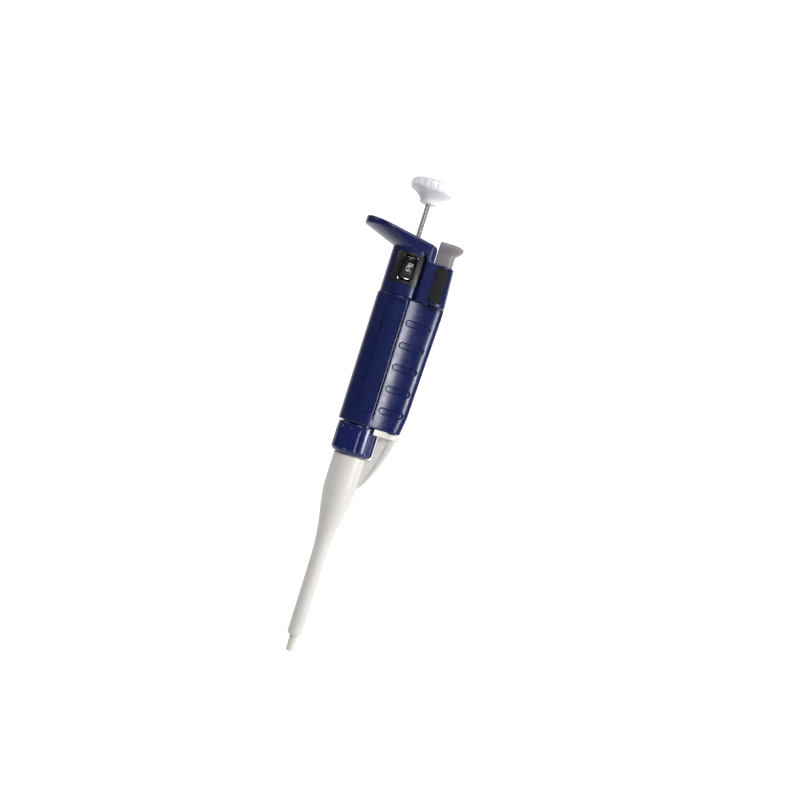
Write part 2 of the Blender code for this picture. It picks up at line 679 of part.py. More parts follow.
def block_loft(name, inset, low, high):
    """The block beside the core that carries the pads and the ejector."""
    sections = []
    for z in (low, high):
        width = RAIL_HALF_WIDTH - inset
        root_y = -CORE_BORE_R + 2 * DEEP + STRIP_STEP
        near = [(0.0, root_y), (STRIP_FROM_X + inset, root_y)]
        near += [(STRIP_FROM_X + inset, -width + STRIP_STEP), (STRIP_FROM_X + inset + STRIP_STEP, -width)]
        near += rail_side(housing_front(z) - inset, width, STRIP_FROM_X + 2.0)
        far = [(x, -y) for x, y in near[:-1]]
        sections.append([(x, y, z) for x, y in near + far[::-1]])
    return lofted(name, sections)


def hook_top(x):
    """Height of the sloping top over a place on the X axis."""
    return HOOK_TOP_AT_AXIS - HOOK_SLOPE * x


def head_profile():
    """The head seen from the near side: level below, with round corners to the strip and at the top."""
    end = HOOK_END_X - DEEP
    points = [(end, HEAD_BOTTOM_Z)]
    points += arc(
        STRIP_FROM_X - STRIP_CORNER, HEAD_BOTTOM_Z - STRIP_CORNER, STRIP_CORNER, 90, 0, 5)
    points.append((HEAD_RIGHT_X, HEAD_BOTTOM_Z - STRIP_CORNER))
    top_z = hook_top(HEAD_RIGHT_X - HEAD_RIGHT_ROUND)
    points += arc(
        HEAD_RIGHT_X - HEAD_RIGHT_ROUND, top_z - HEAD_RIGHT_ROUND, HEAD_RIGHT_ROUND, 0, 80, 4)
    points.append((HEAD_RIGHT_X - HEAD_CORNER, hook_top(HEAD_RIGHT_X - HEAD_CORNER) + DEEP))
    points.append((end, hook_top(end) + DEEP))
    return points


def head_plan(inset, share=1.0):
    """The head seen from above. At share 1 the round hook stands out in full, at 0 only the core is left."""
    from_deg, to_deg = 180 + HOOK_FACET_DEG, 278
    core = arc(0, 0, CORE_R - FIT_GAP, from_deg, to_deg, 9)
    hook = arc(HOOK_END_X + HOOK_END_R, 0, HOOK_END_R - inset, from_deg, to_deg, 9)
    near = [Vector(a).lerp(Vector(b), share) for a, b in zip(core, hook)]
    corner = arc(
        HEAD_RIGHT_X - HEAD_CORNER, -RAIL_HALF_WIDTH + HEAD_CORNER, HEAD_CORNER - inset, -82, 0, 4)
    near.append(near[-1].lerp(Vector(corner[0]), 0.5))
    near += corner
    far = [(x, -y) for x, y in near]
    return near + far[::-1]


def head_block():
    """The head: an underside that widens from the core to the hook, a rim, and a rounded upper edge."""
    foot_z = HEAD_BOTTOM_Z - FIT_GAP
    rings = [[(x, y, z) for x, y in head_plan(0.0, 0.0)] for z in (foot_z - 2 * STRIP_CORNER, foot_z)]
    under_edge = HEAD_EDGE + FIT_GAP
    rings.append([(x, y, min(HOOK_RIM_Z, hook_top(x) - under_edge)) for x, y in head_plan(0.0)])
    for angle in (0, 45, 90):
        inset = HEAD_EDGE * (1 - math.cos(math.radians(angle)))
        drop = HEAD_EDGE * (1 - math.sin(math.radians(angle)))
        rings.append([(x, y, hook_top(x) - drop) for x, y in head_plan(inset)])
    return lofted("upper_housing", rings, BLUE)


def pad_outline(inset):
    """The pad's outline as (x, z)."""
    return rounded_box(
        PAD_FROM_X + inset, PAD_TO_X - inset, PAD_BOTTOM_Z + inset, PAD_TOP_Z - inset, PAD_ROUND - inset / 2)


def ejector_plan(left, front, half_width, front_round, back_round):
    """The ejector button's plan outline, flat at the back and round at the front."""
    near = arc(left + back_round, -half_width + back_round, back_round, 180, 270, 3)
    near += arc(front - front_round, -half_width + front_round, front_round, -90, 0, 5)
    far = [(x, -y) for x, y in near]
    return near + far[::-1]


def upper_housing():
    """The upper half of the handle: core, pad block, head and finger hook in one moulding."""
    body = head_block()
    profile = prism("head_profile", head_profile(), -HOOK_END_R - DEEP, HOOK_END_R + DEEP, "Y")
    combine(body, profile, "INTERSECT")
    core = tube("core_shape", 0, CORE_R, HOUSING_BOTTOM_Z, HEAD_BOTTOM_Z + DEEP, steps=FINE_STEPS)
    combine(body, core, "UNION")
    combine(body, block_loft("block_shape", 0.0, HOUSING_BOTTOM_Z, SHELF_Z), "UNION")
    boss = tube("boss_shape", 0, BOSS_R, HEAD_BOTTOM_Z, HOOK_TOP_AT_AXIS + BOSS_HEIGHT)
    combine(body, boss, "UNION")

    low = HOUSING_BOTTOM_Z - DEEP
    room = tube("counter_room", 0, CORE_BORE_R, low, COUNTER_ROOM_TOP_Z, steps=FINE_STEPS)
    combine(body, room)
    bush_hole = tube("bush_hole", 0, BUSH_R + FIT_GAP, COUNTER_ROOM_TOP_Z - DEEP, BUTTON_BOTTOM_Z, steps=SMALL_STEPS)
    combine(body, bush_hole)
    x, y = COUNTER_AXLE_X, COUNTER_AXLE_Y
    pinion_room = tube(
        "pinion_room", 0, PINION_R + FIT_GAP, DRUM_BOTTOM_Z, HUNDREDS_TOP_Z, x=x, y=y, steps=SMALL_STEPS)
    combine(body, pinion_room)
    axle_hole = tube(
        "axle_hole", 0, COUNTER_AXLE_R + FIT_GAP, DRUM_BOTTOM_Z - AXLE_SEAT - FIT_GAP,
        HUNDREDS_TOP_Z + AXLE_SEAT + FIT_GAP, x=x, y=y, steps=SMALL_STEPS)
    combine(body, axle_hole)

    plan = ejector_plan(
        BUTTON_LEFT_X - SLIDE_GAP, BUTTON_FRONT_X + 2 * FIT_GAP, BUTTON_HALF_WIDTH + FIT_GAP,
        BUTTON_FRONT_ROUND, BUTTON_BACK_ROUND)
    pocket_z = BUTTON_FOOT_Z - EJECTOR_TRAVEL - FIT_GAP
    combine(body, prism("ejector_pocket", plan, pocket_z, HOOK_TOP_AT_AXIS))
    guide = tube(
        "ejector_guide", 0, EJECTOR_ROD_R + SLIDE_GAP, low, SHELF_Z - DEEP, x=EJECTOR_X, steps=SMALL_STEPS)
    combine(body, guide)

    width = RAIL_HALF_WIDTH + DEEP
    pad_pocket = prism("pad_pocket", pad_outline(0.0), -width, width, "Y")
    pad_floor = block_loft("pad_floor", PAD_THICKNESS + FIT_GAP, low, SHELF_Z + DEEP)
    combine(body, combine(pad_pocket, pad_floor))

    border = WINDOW_HALF_WIDTH + BEZEL_BORDER + FIT_GAP
    border_low = WINDOW_BOTTOM_Z - BEZEL_BORDER_Z - FIT_GAP
    border_high = WINDOW_TOP_Z + BEZEL_BORDER_Z + FIT_GAP
    outline = rounded_box(-border, border, border_low, border_high, BEZEL_ROUND + FIT_GAP)
    bezel_pocket = prism("bezel_pocket", outline, -CORE_R - DEEP, 0.0, "Y")
    floor_r = CORE_R + BEZEL_PROUD - BEZEL_THICKNESS - FIT_GAP
    floor = tube("bezel_floor", 0, floor_r, border_low - DEEP, border_high + DEEP, steps=FINE_STEPS)
    combine(body, combine(bezel_pocket, floor))
    half = WINDOW_HALF_WIDTH + LENS_LAP + FIT_GAP
    low_edge = WINDOW_BOTTOM_Z - LENS_LAP - FIT_GAP
    high_edge = WINDOW_TOP_Z + LENS_LAP + FIT_GAP
    outline = rounded_box(-half, half, low_edge, high_edge, 0.6)
    combine(body, prism("window_hole", outline, -CORE_R - DEEP, 0.0, "Y"))
    return shade(body)


def grip_pad(name, side):
    """One textured rubber pad, let into a side of the block."""
    far, near = side * (RAIL_HALF_WIDTH + DEEP), side * BUTTON_HALF_WIDTH
    pad = prism(name, pad_outline(FIT_GAP), min(far, near), max(far, near), "Y", BLACK_RUBBER)
    low, high = HOUSING_BOTTOM_Z, SHELF_Z + DEEP
    combine(pad, block_loft(name + "_outside", 0.0, low, high), "INTERSECT")
    combine(pad, block_loft(name + "_inside", PAD_THICKNESS, low - DEEP, high + DEEP))
    return shade(pad)


def curved_plate(name, outline, thickness, outer_r, material):
    """A plate cut from a ring about the plunger axis, on the near side."""
    heights = [z for _, z in outline]
    plate = prism(name, outline, -outer_r - DEEP, 0.0, "Y", material)
    ring = tube(
        name + "_ring", outer_r - thickness, outer_r, min(heights) - DEEP, max(heights) + DEEP,
        steps=FINE_STEPS)
    return combine(plate, ring, "INTERSECT")


def window():
    """The black frame of the volume window, and the clear lens behind it."""
    border = WINDOW_HALF_WIDTH + BEZEL_BORDER
    outline = rounded_box(
        -border, border, WINDOW_BOTTOM_Z - BEZEL_BORDER_Z, WINDOW_TOP_Z + BEZEL_BORDER_Z, BEZEL_ROUND)
    outer_r = CORE_R + BEZEL_PROUD
    bezel = curved_plate("window_bezel", outline, BEZEL_THICKNESS, outer_r, BLACK_PLASTIC)
    opening = rounded_box(-WINDOW_HALF_WIDTH, WINDOW_HALF_WIDTH, WINDOW_BOTTOM_Z, WINDOW_TOP_Z, 0.5)
    combine(bezel, prism("window_opening", opening, -CORE_R - 2 * DEEP, -CORE_BORE_R + 2.0, "Y"))
    shade(bezel)
    half = WINDOW_HALF_WIDTH + LENS_LAP
    outline = rounded_box(-half, half, WINDOW_BOTTOM_Z - LENS_LAP, WINDOW_TOP_Z + LENS_LAP, 0.5)
    lens_r = outer_r - BEZEL_THICKNESS - FIT_GAP
    shade(curved_plate("window_lens", outline, LENS_THICKNESS, lens_r, CLEAR_PLASTIC))


# Volume screw and counter

def hexagon(corner_r):
    """A hexagon's corners."""
    return arc(0, 0, corner_r, 0, 300, 5)


def volume_screw():
    """The hollow screw that the rod turns: it sets the plunger's upper stop and turns the counter."""
    flange_z = DRUM_BOTTOM_Z - FIT_GAP
    outline = [
        (0, SCREW_BOTTOM_Z), (SCREW_R, SCREW_BOTTOM_Z), (SCREW_R, flange_z - SCREW_FLANGE_HEIGHT),
        (SCREW_FLANGE_R, flange_z - SCREW_FLANGE_HEIGHT), (SCREW_FLANGE_R, flange_z), (SCREW_R, flange_z),
        (SCREW_R, SCREW_TOP_Z), (0, SCREW_TOP_Z)]
    screw = turned("volume_screw", outline, BRASS)
    way = prism("screw_way", hexagon(HEX_CORNER_R + SLIDE_GAP), SCREW_BOTTOM_Z - DEEP, SCREW_TOP_Z + DEEP)
    return shade(combine(screw, way))


def volume_nut():
    """The nut fixed in the barrel that the volume screw turns in."""
    return tube(
        "volume_nut", SCREW_R + FIT_GAP, BARREL_BORE_R - FIT_GAP, NUT_BOTTOM_Z, NUT_BOTTOM_Z + NUT_HEIGHT, BRASS)


def drum(name, place_number):
    """A number drum. The two upper ones carry a ring of gear teeth at their lower edge."""
    low = DRUM_BOTTOM_Z + place_number * (DRUM_HEIGHT + FIT_GAP)
    high = low + DRUM_HEIGHT
    bore_r = SCREW_R + FIT_GAP
    if place_number == 0:
        return tube(name, bore_r, DRUM_R, low, high, DRUM_PLASTIC, steps=FINE_STEPS)
    gear = gear_outline(DRUM_R, DRUM_TOOTH, DRUM_TEETH)
    plain = [(x * DRUM_R / math.hypot(x, y), y * DRUM_R / math.hypot(x, y)) for x, y in gear]
    step_z = low + DRUM_GEAR_HEIGHT
    levels = ((gear, low), (gear, step_z), (plain, step_z + 0.01), (plain, high))
    wheel = lofted(name, [[(x, y, z) for x, y in outline] for outline, z in levels], DRUM_PLASTIC)
    return shade(combine(wheel, tube(name + "_bore", 0, bore_r, low - DEEP, high + DEEP)))


def counter():
    """Three drums on the screw, and the two pinions that carry a turn from drum to drum."""
    for number, name in enumerate(("drum_units", "drum_tens", "drum_hundreds")):
        drum(name, number)
    x, y = COUNTER_AXLE_X, COUNTER_AXLE_Y
    tube(
        "counter_axle", 0, COUNTER_AXLE_R, DRUM_BOTTOM_Z - AXLE_SEAT, HUNDREDS_TOP_Z + AXLE_SEAT, STEEL,
        x, y, 16)
    for number, name in enumerate(("pinion_low", "pinion_high")):
        joint_z = DRUM_BOTTOM_Z + (number + 1) * (DRUM_HEIGHT + FIT_GAP) - FIT_GAP / 2
        low = joint_z - PINION_HEIGHT / 2
        outline = gear_outline(PINION_R, PINION_TOOTH, PINION_TEETH)
        pinion = prism(name, outline, low, low + PINION_HEIGHT, "Z", WHITE_PLASTIC, x, y)
        bore = tube(
            name + "_bore", 0, COUNTER_AXLE_R + FIT_GAP / 2, low - DEEP, low + PINION_HEIGHT + DEEP,
            x=x, y=y, steps=16)
        shade(combine(pinion, bore))


# Plunger

def push_button():
    """The white button: a round top on a flared stem, with shallow notches round its rim."""
    stem = [
        (0, BUTTON_BOTTOM_Z), (BUTTON_HUB_R - 0.5, BUTTON_BOTTOM_Z), (BUTTON_HUB_R, BUTTON_BOTTOM_Z + 0.6),
        (BUTTON_HUB_R + 0.45, BUTTON_BOTTOM_Z + 1.8), (BUTTON_HUB_R + 1.1, BUTTON_BOTTOM_Z + 2.7),
        (BUTTON_HUB_R + 2.4, BUTTON_BOTTOM_Z + 3.9), (BUTTON_HUB_R + 4.0, BUTTON_BOTTOM_Z + 4.9),
        (BUTTON_HUB_R + 5.8, BUTTON_BOTTOM_Z + 5.8)]
    rim = [
        (BUTTON_R - 0.25, BUTTON_RIM_Z - 0.9), (BUTTON_R, BUTTON_RIM_Z - 0.3), (BUTTON_R, BUTTON_RIM_Z + 1.4),
        (BUTTON_R - 0.5, BUTTON_RIM_Z + 2.4), (BUTTON_R - 1.8, BUTTON_TOP_Z - 0.8),
        (BUTTON_R - 4.5, BUTTON_TOP_Z - 0.2), (0, BUTTON_TOP_Z)]
    button = turned("push_button", stem + rim, WHITE_PLASTIC, steps=FINE_STEPS)
    reach = BUTTON_R + BUTTON_NOTCH_R - BUTTON_NOTCH_DEPTH
    for i in range(BUTTON_NOTCHES):
        angle = 2 * math.pi * (i + 0.5) / BUTTON_NOTCHES
        notch = tube(
            f"notch_{i + 1}", 0, BUTTON_NOTCH_R, BUTTON_RIM_Z - 2 * DEEP, BUTTON_TOP_Z + DEEP,
            x=reach * math.cos(angle), y=reach * math.sin(angle), steps=8)
        combine(button, notch)
    socket = tube("button_socket", 0, ROD_R + FIT_GAP, BUTTON_BOTTOM_Z - DEEP, BUTTON_SOCKET_Z, steps=SMALL_STEPS)
    return shade(combine(button, socket))


def plunger_rod():
    """The steel rod: round where it leaves the head, six-sided where it drives the volume screw."""
    rod = prism("plunger_rod", hexagon(HEX_CORNER_R), ROD_BOTTOM_Z, HEX_TOP_Z, "Z", STEEL)
    top = BUTTON_SOCKET_Z - FIT_GAP
    return shade(combine(rod, tube("rod_top", 0, ROD_R, HEX_TOP_Z - DEEP, top, steps=SMALL_STEPS), "UNION"))


def plunger_parts():
    """What moves with the rod, and the bush that guides it."""
    push_button()
    plunger_rod()
    inner = HEX_CORNER_R + FIT_GAP
    tube(
        "stop_ring", inner, STOP_RING_R, STOP_RING_BOTTOM_Z, STOP_RING_BOTTOM_Z + STOP_RING_HEIGHT, STEEL)
    top = HOOK_TOP_AT_AXIS + BOSS_HEIGHT - 0.1
    tube("guide_bush", ROD_R + FIT_GAP, BUSH_R, top - BUSH_HEIGHT, top, BLACK_PLASTIC, steps=SMALL_STEPS)
    washer_top = STOP_WASHER_BOTTOM_Z + STOP_WASHER_HEIGHT
    tube("stop_washer", inner + FIT_GAP, STOP_WASHER_R, STOP_WASHER_BOTTOM_Z, washer_top, STEEL)


def piston_parts():
    """Piston, its cap, and the seal that it slides through."""
    cap_bottom = PISTON_CAP_TOP_Z - PISTON_CAP_HEIGHT
    socket_top = cap_bottom + PISTON_CAP_HEIGHT / 2
    seat_r = PISTON_R + FIT_GAP
    turned("piston_cap", [
        (0, socket_top), (seat_r, socket_top), (seat_r, cap_bottom), (PISTON_CAP_R, cap_bottom),
        (PISTON_CAP_R, PISTON_CAP_TOP_Z), (0, PISTON_CAP_TOP_Z)], STEEL)
    edge = 0.4
    turned("piston", [
        (0, PISTON_BOTTOM_Z), (PISTON_R - edge, PISTON_BOTTOM_Z), (PISTON_R, PISTON_BOTTOM_Z + edge),
        (PISTON_R, socket_top - FIT_GAP), (0, socket_top - FIT_GAP)], STEEL)
    ring_r = PISTON_R + FIT_GAP + SEAL_WIRE_R
    ring_z = CYLINDER_TOP_Z + FIT_GAP + SEAL_WIRE_R
    turned("seal_ring", arc(ring_r, ring_z, SEAL_WIRE_R, 0, 315, 7), SEAL_RUBBER, steps=SMALL_STEPS)
    retainer_z = ring_z + SEAL_WIRE_R + FIT_GAP
    tube(
        "seal_retainer", PISTON_R + FIT_GAP, SHAFT_ROOM_R - FIT_GAP, retainer_z,
        retainer_z + SEAL_RETAINER_HEIGHT, WHITE_PLASTIC)
    spring(
        "piston_spring", PISTON_SPRING_R, PISTON_SPRING_WIRE, PISTON_SPRING_TURNS,
        retainer_z + SEAL_RETAINER_HEIGHT + FIT_GAP, cap_bottom - FIT_GAP)
    spring(
        "blow_out_spring", BLOW_OUT_SPRING_R, BLOW_OUT_SPRING_WIRE, BLOW_OUT_SPRING_TURNS,
        GRIP_FLOOR_Z + FIT_GAP, STOP_WASHER_BOTTOM_Z - FIT_GAP)


# Ejector

def ejector_button():
    """The grey button beside the head: a straight foot that flares into a wide lip."""
    flare_steps = (
        (BUTTON_FOOT_Z, 0.0), (BUTTON_FLARE_Z, 0.08), (BUTTON_FLARE_Z + 1.8, 0.45), (BUTTON_LIP_Z - 0.6, 0.9),
        (BUTTON_LIP_Z, 1.0))
    sections = []
    for z, share in flare_steps:
        front = BUTTON_FRONT_X + (BUTTON_LIP_FRONT_X - BUTTON_FRONT_X) * share
        half = BUTTON_HALF_WIDTH + (BUTTON_LIP_HALF_WIDTH - BUTTON_HALF_WIDTH) * share
        plan = ejector_plan(BUTTON_LEFT_X, front, half, BUTTON_FRONT_ROUND + share, BUTTON_BACK_ROUND)
        sections.append([(x, y, z) for x, y in plan])
    crown = (BUTTON_CROWN_Z - BUTTON_LIP_Z)
    for inset, share in ((0.5, 0.5), (1.6, 0.9), (3.2, 1.0)):
        plan = ejector_plan(
            BUTTON_LEFT_X + inset * 0.5, BUTTON_LIP_FRONT_X - inset * 1.2, BUTTON_LIP_HALF_WIDTH - inset,
            BUTTON_FRONT_ROUND + 1.0 - inset * 0.4, BUTTON_BACK_ROUND)
        sections.append([(x, y, BUTTON_LIP_Z + crown * share) for x, y in plan])
    button = lofted("ejector_button", sections, GREY_PLASTIC)
    socket = tube(
        "ejector_socket", 0, EJECTOR_ROD_R + FIT_GAP, BUTTON_FOOT_Z - DEEP,
        BUTTON_FOOT_Z + EJECTOR_SOCKET_DEPTH, x=EJECTOR_X, steps=SMALL_STEPS)
    return shade(combine(button, socket))


def ejector_parts():
    """The rod from button to arm, its clip, and the spring that lifts it."""
    ejector_button()
    rod_bottom = PLATFORM_TOP_Z - ROD_SOCKET_DEPTH + FIT_GAP
    rod_top = BUTTON_FOOT_Z + EJECTOR_SOCKET_DEPTH - FIT_GAP
    tube("ejector_rod", 0, EJECTOR_ROD_R, rod_bottom, rod_top, STEEL, EJECTOR_X, steps=SMALL_STEPS)
    clip_top = HOUSING_BOTTOM_Z - FIT_GAP
    clip_bottom = clip_top - ROD_CLIP_HEIGHT
    tube(
        "rod_clip", EJECTOR_ROD_R + FIT_GAP, EJECTOR_SPRING_R + EJECTOR_SPRING_WIRE, clip_bottom, clip_top,
        STEEL, EJECTOR_X, steps=SMALL_STEPS)
    spring(
        "ejector_spring", EJECTOR_SPRING_R, EJECTOR_SPRING_WIRE, EJECTOR_SPRING_TURNS,
        EJECTOR_SPRING_FLOOR_Z + FIT_GAP, clip_bottom - FIT_GAP, EJECTOR_X)


tip_cone_shaft()
piston_parts()
collar_nut()
grip_body()
side_panel()
upper_housing()
grip_pad("grip_pad_near", -1)
grip_pad("grip_pad_far", 1)
window()
volume_screw()
volume_nut()
counter()
plunger_parts()
ejector_parts()
ejector_arm()
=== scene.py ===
"""The looks of a hand-held adjustable micropipette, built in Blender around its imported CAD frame."""
# %% [markdown]
# # A micropipette, seen close
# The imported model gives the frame: where every piece sits and how it moves. This file gives the looks.
# Sizes are in millimetres, and heights are measured up the plunger axis from the open end of the tip cone.
# One call at the end of each piece takes it to metres.

# %% Load the frame
from math import acos, copysign, cos, hypot, pi, radians, sin, sqrt, tan

import bmesh
import bpy
from mathutils import Matrix, Vector


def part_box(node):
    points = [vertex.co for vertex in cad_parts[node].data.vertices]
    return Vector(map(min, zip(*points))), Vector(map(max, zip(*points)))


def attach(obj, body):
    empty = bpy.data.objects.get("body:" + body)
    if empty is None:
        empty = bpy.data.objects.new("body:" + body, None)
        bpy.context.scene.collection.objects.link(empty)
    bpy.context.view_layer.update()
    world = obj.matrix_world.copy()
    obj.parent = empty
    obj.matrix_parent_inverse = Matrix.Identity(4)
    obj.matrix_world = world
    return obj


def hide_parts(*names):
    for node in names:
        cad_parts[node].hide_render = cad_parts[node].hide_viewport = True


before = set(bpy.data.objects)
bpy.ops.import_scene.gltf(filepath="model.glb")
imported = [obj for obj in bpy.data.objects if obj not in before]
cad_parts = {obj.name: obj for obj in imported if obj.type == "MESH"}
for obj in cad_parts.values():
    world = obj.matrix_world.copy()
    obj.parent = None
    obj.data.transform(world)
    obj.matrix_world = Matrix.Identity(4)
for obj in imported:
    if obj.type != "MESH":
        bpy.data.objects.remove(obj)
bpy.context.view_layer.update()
MM = 0.001
TIP_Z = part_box("tip_cone_shaft")[0].z


# %% Measure the frame's pieces
def span(node):
    """Lowest and highest corner of a CAD node in millimetres, heights from the tip end."""
    low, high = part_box(node)
    lift = Vector((0, 0, TIP_Z))
    return (low - lift) / MM, (high - lift) / MM


grip_low, grip_high = span("grip_body")
collar_low, collar_high = span("collar_nut")
button_low, button_high = span("push_button")
print(f"the grip and its neck reach from {grip_low.z:.1f} to {grip_high.z:.1f} mm above the tip end")

# %% [markdown]
# ## The camera and the room
# The pipette leans in the photograph because the hand tilts it. The part itself stands upright in its frame,
# so the camera is rolled instead. It stands off by about half a metre, which keeps the sides nearly parallel.


# %% Camera
def to_scene(name, data):
    """A new object in the scene."""
    made = bpy.data.objects.new(name, data)
    bpy.context.scene.collection.objects.link(made)
    return made


LEAN = radians(17.35)
CAMERA_AWAY = 560 * MM
CAMERA_ACROSS = 15.3 * MM
CAMERA_HEIGHT = TIP_Z + 132.6 * MM
VIEW_WIDTH = 390 * MM
SENSOR = 36.0

camera_data = bpy.data.cameras.new("photo_camera")
camera_data.sensor_width = SENSOR
camera_data.lens = SENSOR * CAMERA_AWAY / VIEW_WIDTH
camera = to_scene("photo_camera", camera_data)
right = Vector((cos(LEAN), 0, sin(LEAN)))
up = Vector((-sin(LEAN), 0, cos(LEAN)))
back = Vector((0, -1, 0))
turn = Matrix((right, up, back)).transposed().to_4x4()
camera.matrix_world = Matrix.Translation((CAMERA_ACROSS, -CAMERA_AWAY, CAMERA_HEIGHT)) @ turn
bpy.context.scene.camera = camera
print(f"lens {camera_data.lens:.1f} mm")

# %% [markdown]
# Colours are written as sRGB hex values, as a paint chart gives them. The shader wants linear light,
# so one function turns them.


# %% Colour
def linear(hex_colour):
    """An sRGB hex colour as linear RGBA."""
    parts = [int(hex_colour[i:i + 2], 16) / 255 for i in (1, 3, 5)]
    light = [p / 12.92 if p <= 0.04045 else ((p + 0.055) / 1.055) ** 2.4 for p in parts]
    return (*light, 1.0)


print("white plastic is", [round(v, 2) for v in linear("#E9E7E3")])


# %% Add one node
def feed(tree, made, inputs):
    """Set a node's inputs to values, or link them to a socket or to a node's first output in use."""
    for name, value in inputs.items():
        if isinstance(value, bpy.types.Node):
            value = next(socket for socket in value.outputs if socket.enabled)
        if isinstance(value, bpy.types.NodeSocket):
            tree.links.new(value, made.inputs[name])
        else:
            made.inputs[name].default_value = value


def node(tree, kind, inputs, **settings):
    """Add a node: settings are its own properties, inputs are what feed takes."""
    made = tree.nodes.new(kind)
    for name, value in settings.items():
        setattr(made, name, value)
    feed(tree, made, inputs)
    return made


def new_material(name):
    """An empty node material with its tree, shader and object coordinates."""
    material = bpy.data.materials.new(name)
    material.use_nodes = True
    tree = material.node_tree
    place = node(tree, "ShaderNodeTexCoord", {}).outputs["Object"]
    return material, tree, tree.nodes["Principled BSDF"], place


# %% [markdown]
# White paper lies under the pipette and curves up behind it. It glows, because the photograph's ground is
# pure white, and the glow fades in front and at the sides, so that it draws no hard edge in any view.

# %% Floor and backdrop
FLOOR_Z = TIP_Z - 150 * MM
SWEEP_BACK = 800 * MM
SWEEP_ROUND = 400 * MM
SWEEP_FRONT = -100 * MM
SWEEP_TOP = 1000 * MM
SWEEP_HALF = 1600 * MM
SWEEP_STEPS = 12
FLOOR_HALF = 2500 * MM
GLOW = 0.7
GLOW_FROM_Y, GLOW_FULL_Y = 0.0, 150 * MM
GLOW_FULL_X, GLOW_NONE_X = 900 * MM, 1500 * MM


def paper_sheet(name, half, profile):
    """A sheet as wide as twice half, whose side view is a line of (y, z)."""
    count = len(profile)
    mesh = bpy.data.meshes.new(name)
    mesh.from_pydata(
        [(x, y, z) for x in (-half, half) for y, z in profile], [],
        [(i, count + i, count + i + 1, i + 1) for i in range(count - 1)])
    mesh.shade_smooth()
    return to_scene(name, mesh)


curve = [radians(90 * i / SWEEP_STEPS) for i in range(SWEEP_STEPS + 1)]
profile = [(SWEEP_FRONT, FLOOR_Z)]
profile += [(SWEEP_BACK + SWEEP_ROUND * sin(a), FLOOR_Z + SWEEP_ROUND * (1 - cos(a))) for a in curve]
profile.append((SWEEP_BACK + SWEEP_ROUND, SWEEP_TOP))
flat = [(-FLOOR_HALF, FLOOR_Z - MM), (FLOOR_HALF, FLOOR_Z - MM)]
for sheet in (paper_sheet("floor", FLOOR_HALF, flat), paper_sheet("backdrop", SWEEP_HALF, profile)):
    paper, tree, shader, place = new_material("white_" + sheet.name + "_paper")
    feed(tree, shader, {"Base Color": linear("#EDEDEB"), "Roughness": 0.9})
    if sheet.name == "backdrop":
        parts = node(tree, "ShaderNodeSeparateXYZ", {0: place})
        deep = node(tree, "ShaderNodeMapRange", {
            "Value": parts.outputs["Y"], "From Min": GLOW_FROM_Y, "From Max": GLOW_FULL_Y,
            "To Min": 0.0, "To Max": GLOW}, interpolation_type="SMOOTHSTEP")
        aside = node(tree, "ShaderNodeMath", {0: parts.outputs["X"]}, operation="ABSOLUTE")
        level = node(tree, "ShaderNodeMapRange", {
            "Value": aside, "From Min": GLOW_FULL_X, "From Max": GLOW_NONE_X,
            "To Min": 1.0, "To Max": 0.0}, interpolation_type="SMOOTHSTEP")
        glow = node(tree, "ShaderNodeMath", {0: deep, 1: level}, operation="MULTIPLY")
        feed(tree, shader, {"Emission Strength": glow, "Emission Color": (1, 1, 1, 1)})
    sheet.data.materials.append(paper)
print("floor at", round(FLOOR_Z, 3))

# %% [markdown]
# ## Light
# A level light on the right draws the long highlight down the rail, as in the photograph. A high one beside
# it lights the white pieces, one in front lights what faces the camera, and one on the left opens the shade.
# Each is given by its turn round the axis, its rise, its size in metres and its power in watts.


# %% Lights
def area_light(name, turn_deg, rise_deg, size, power):
    """A square area light, aimed at the pipette's middle."""
    turned_by, raised_by = radians(turn_deg), radians(rise_deg)
    level = cos(raised_by)
    way = Vector((level * sin(turned_by), -level * cos(turned_by), sin(raised_by)))
    data = bpy.data.lights.new(name, "AREA")
    data.energy = power
    data.size = size
    lamp = to_scene(name, data)
    lamp.location = AIM_AT + way * LIGHT_AWAY
    lamp.rotation_euler = (-way).to_track_quat("-Z", "Y").to_euler()


AIM_AT = Vector((0, 0, TIP_Z + 130 * MM))
LIGHT_AWAY = 750 * MM
WORLD_STRENGTH = 0.12
area_light("high_right_light", 84, 35, 0.15, 2.0)
area_light("right_light", 62, 2, 0.18, 2.3)
area_light("front_light", 10, 38, 0.35, 2.7)
area_light("left_light", -80, 35, 0.35, 1.2)
world = bpy.data.worlds.new("soft_room")
world.use_nodes = True
feed(world.node_tree, world.node_tree.nodes["Background"], {"Color": (1, 1, 1, 1), "Strength": WORLD_STRENGTH})
bpy.context.scene.world = world
bpy.context.scene.view_settings.view_transform = "Standard"

# %% [markdown]
# ## Moulded plastics
# The handle is injection-moulded plastic from a spark-eroded mould, which leaves a fine even grain of about
# a fifth of a millimetre. That is too fine to show from here, so it is drawn at half a millimetre. Handling
# polishes the edges, so they turn a little lighter. The white arm and button are smoother mouldings. One
# function makes them all: grain, slow colour drift, uneven gloss and worn edges.


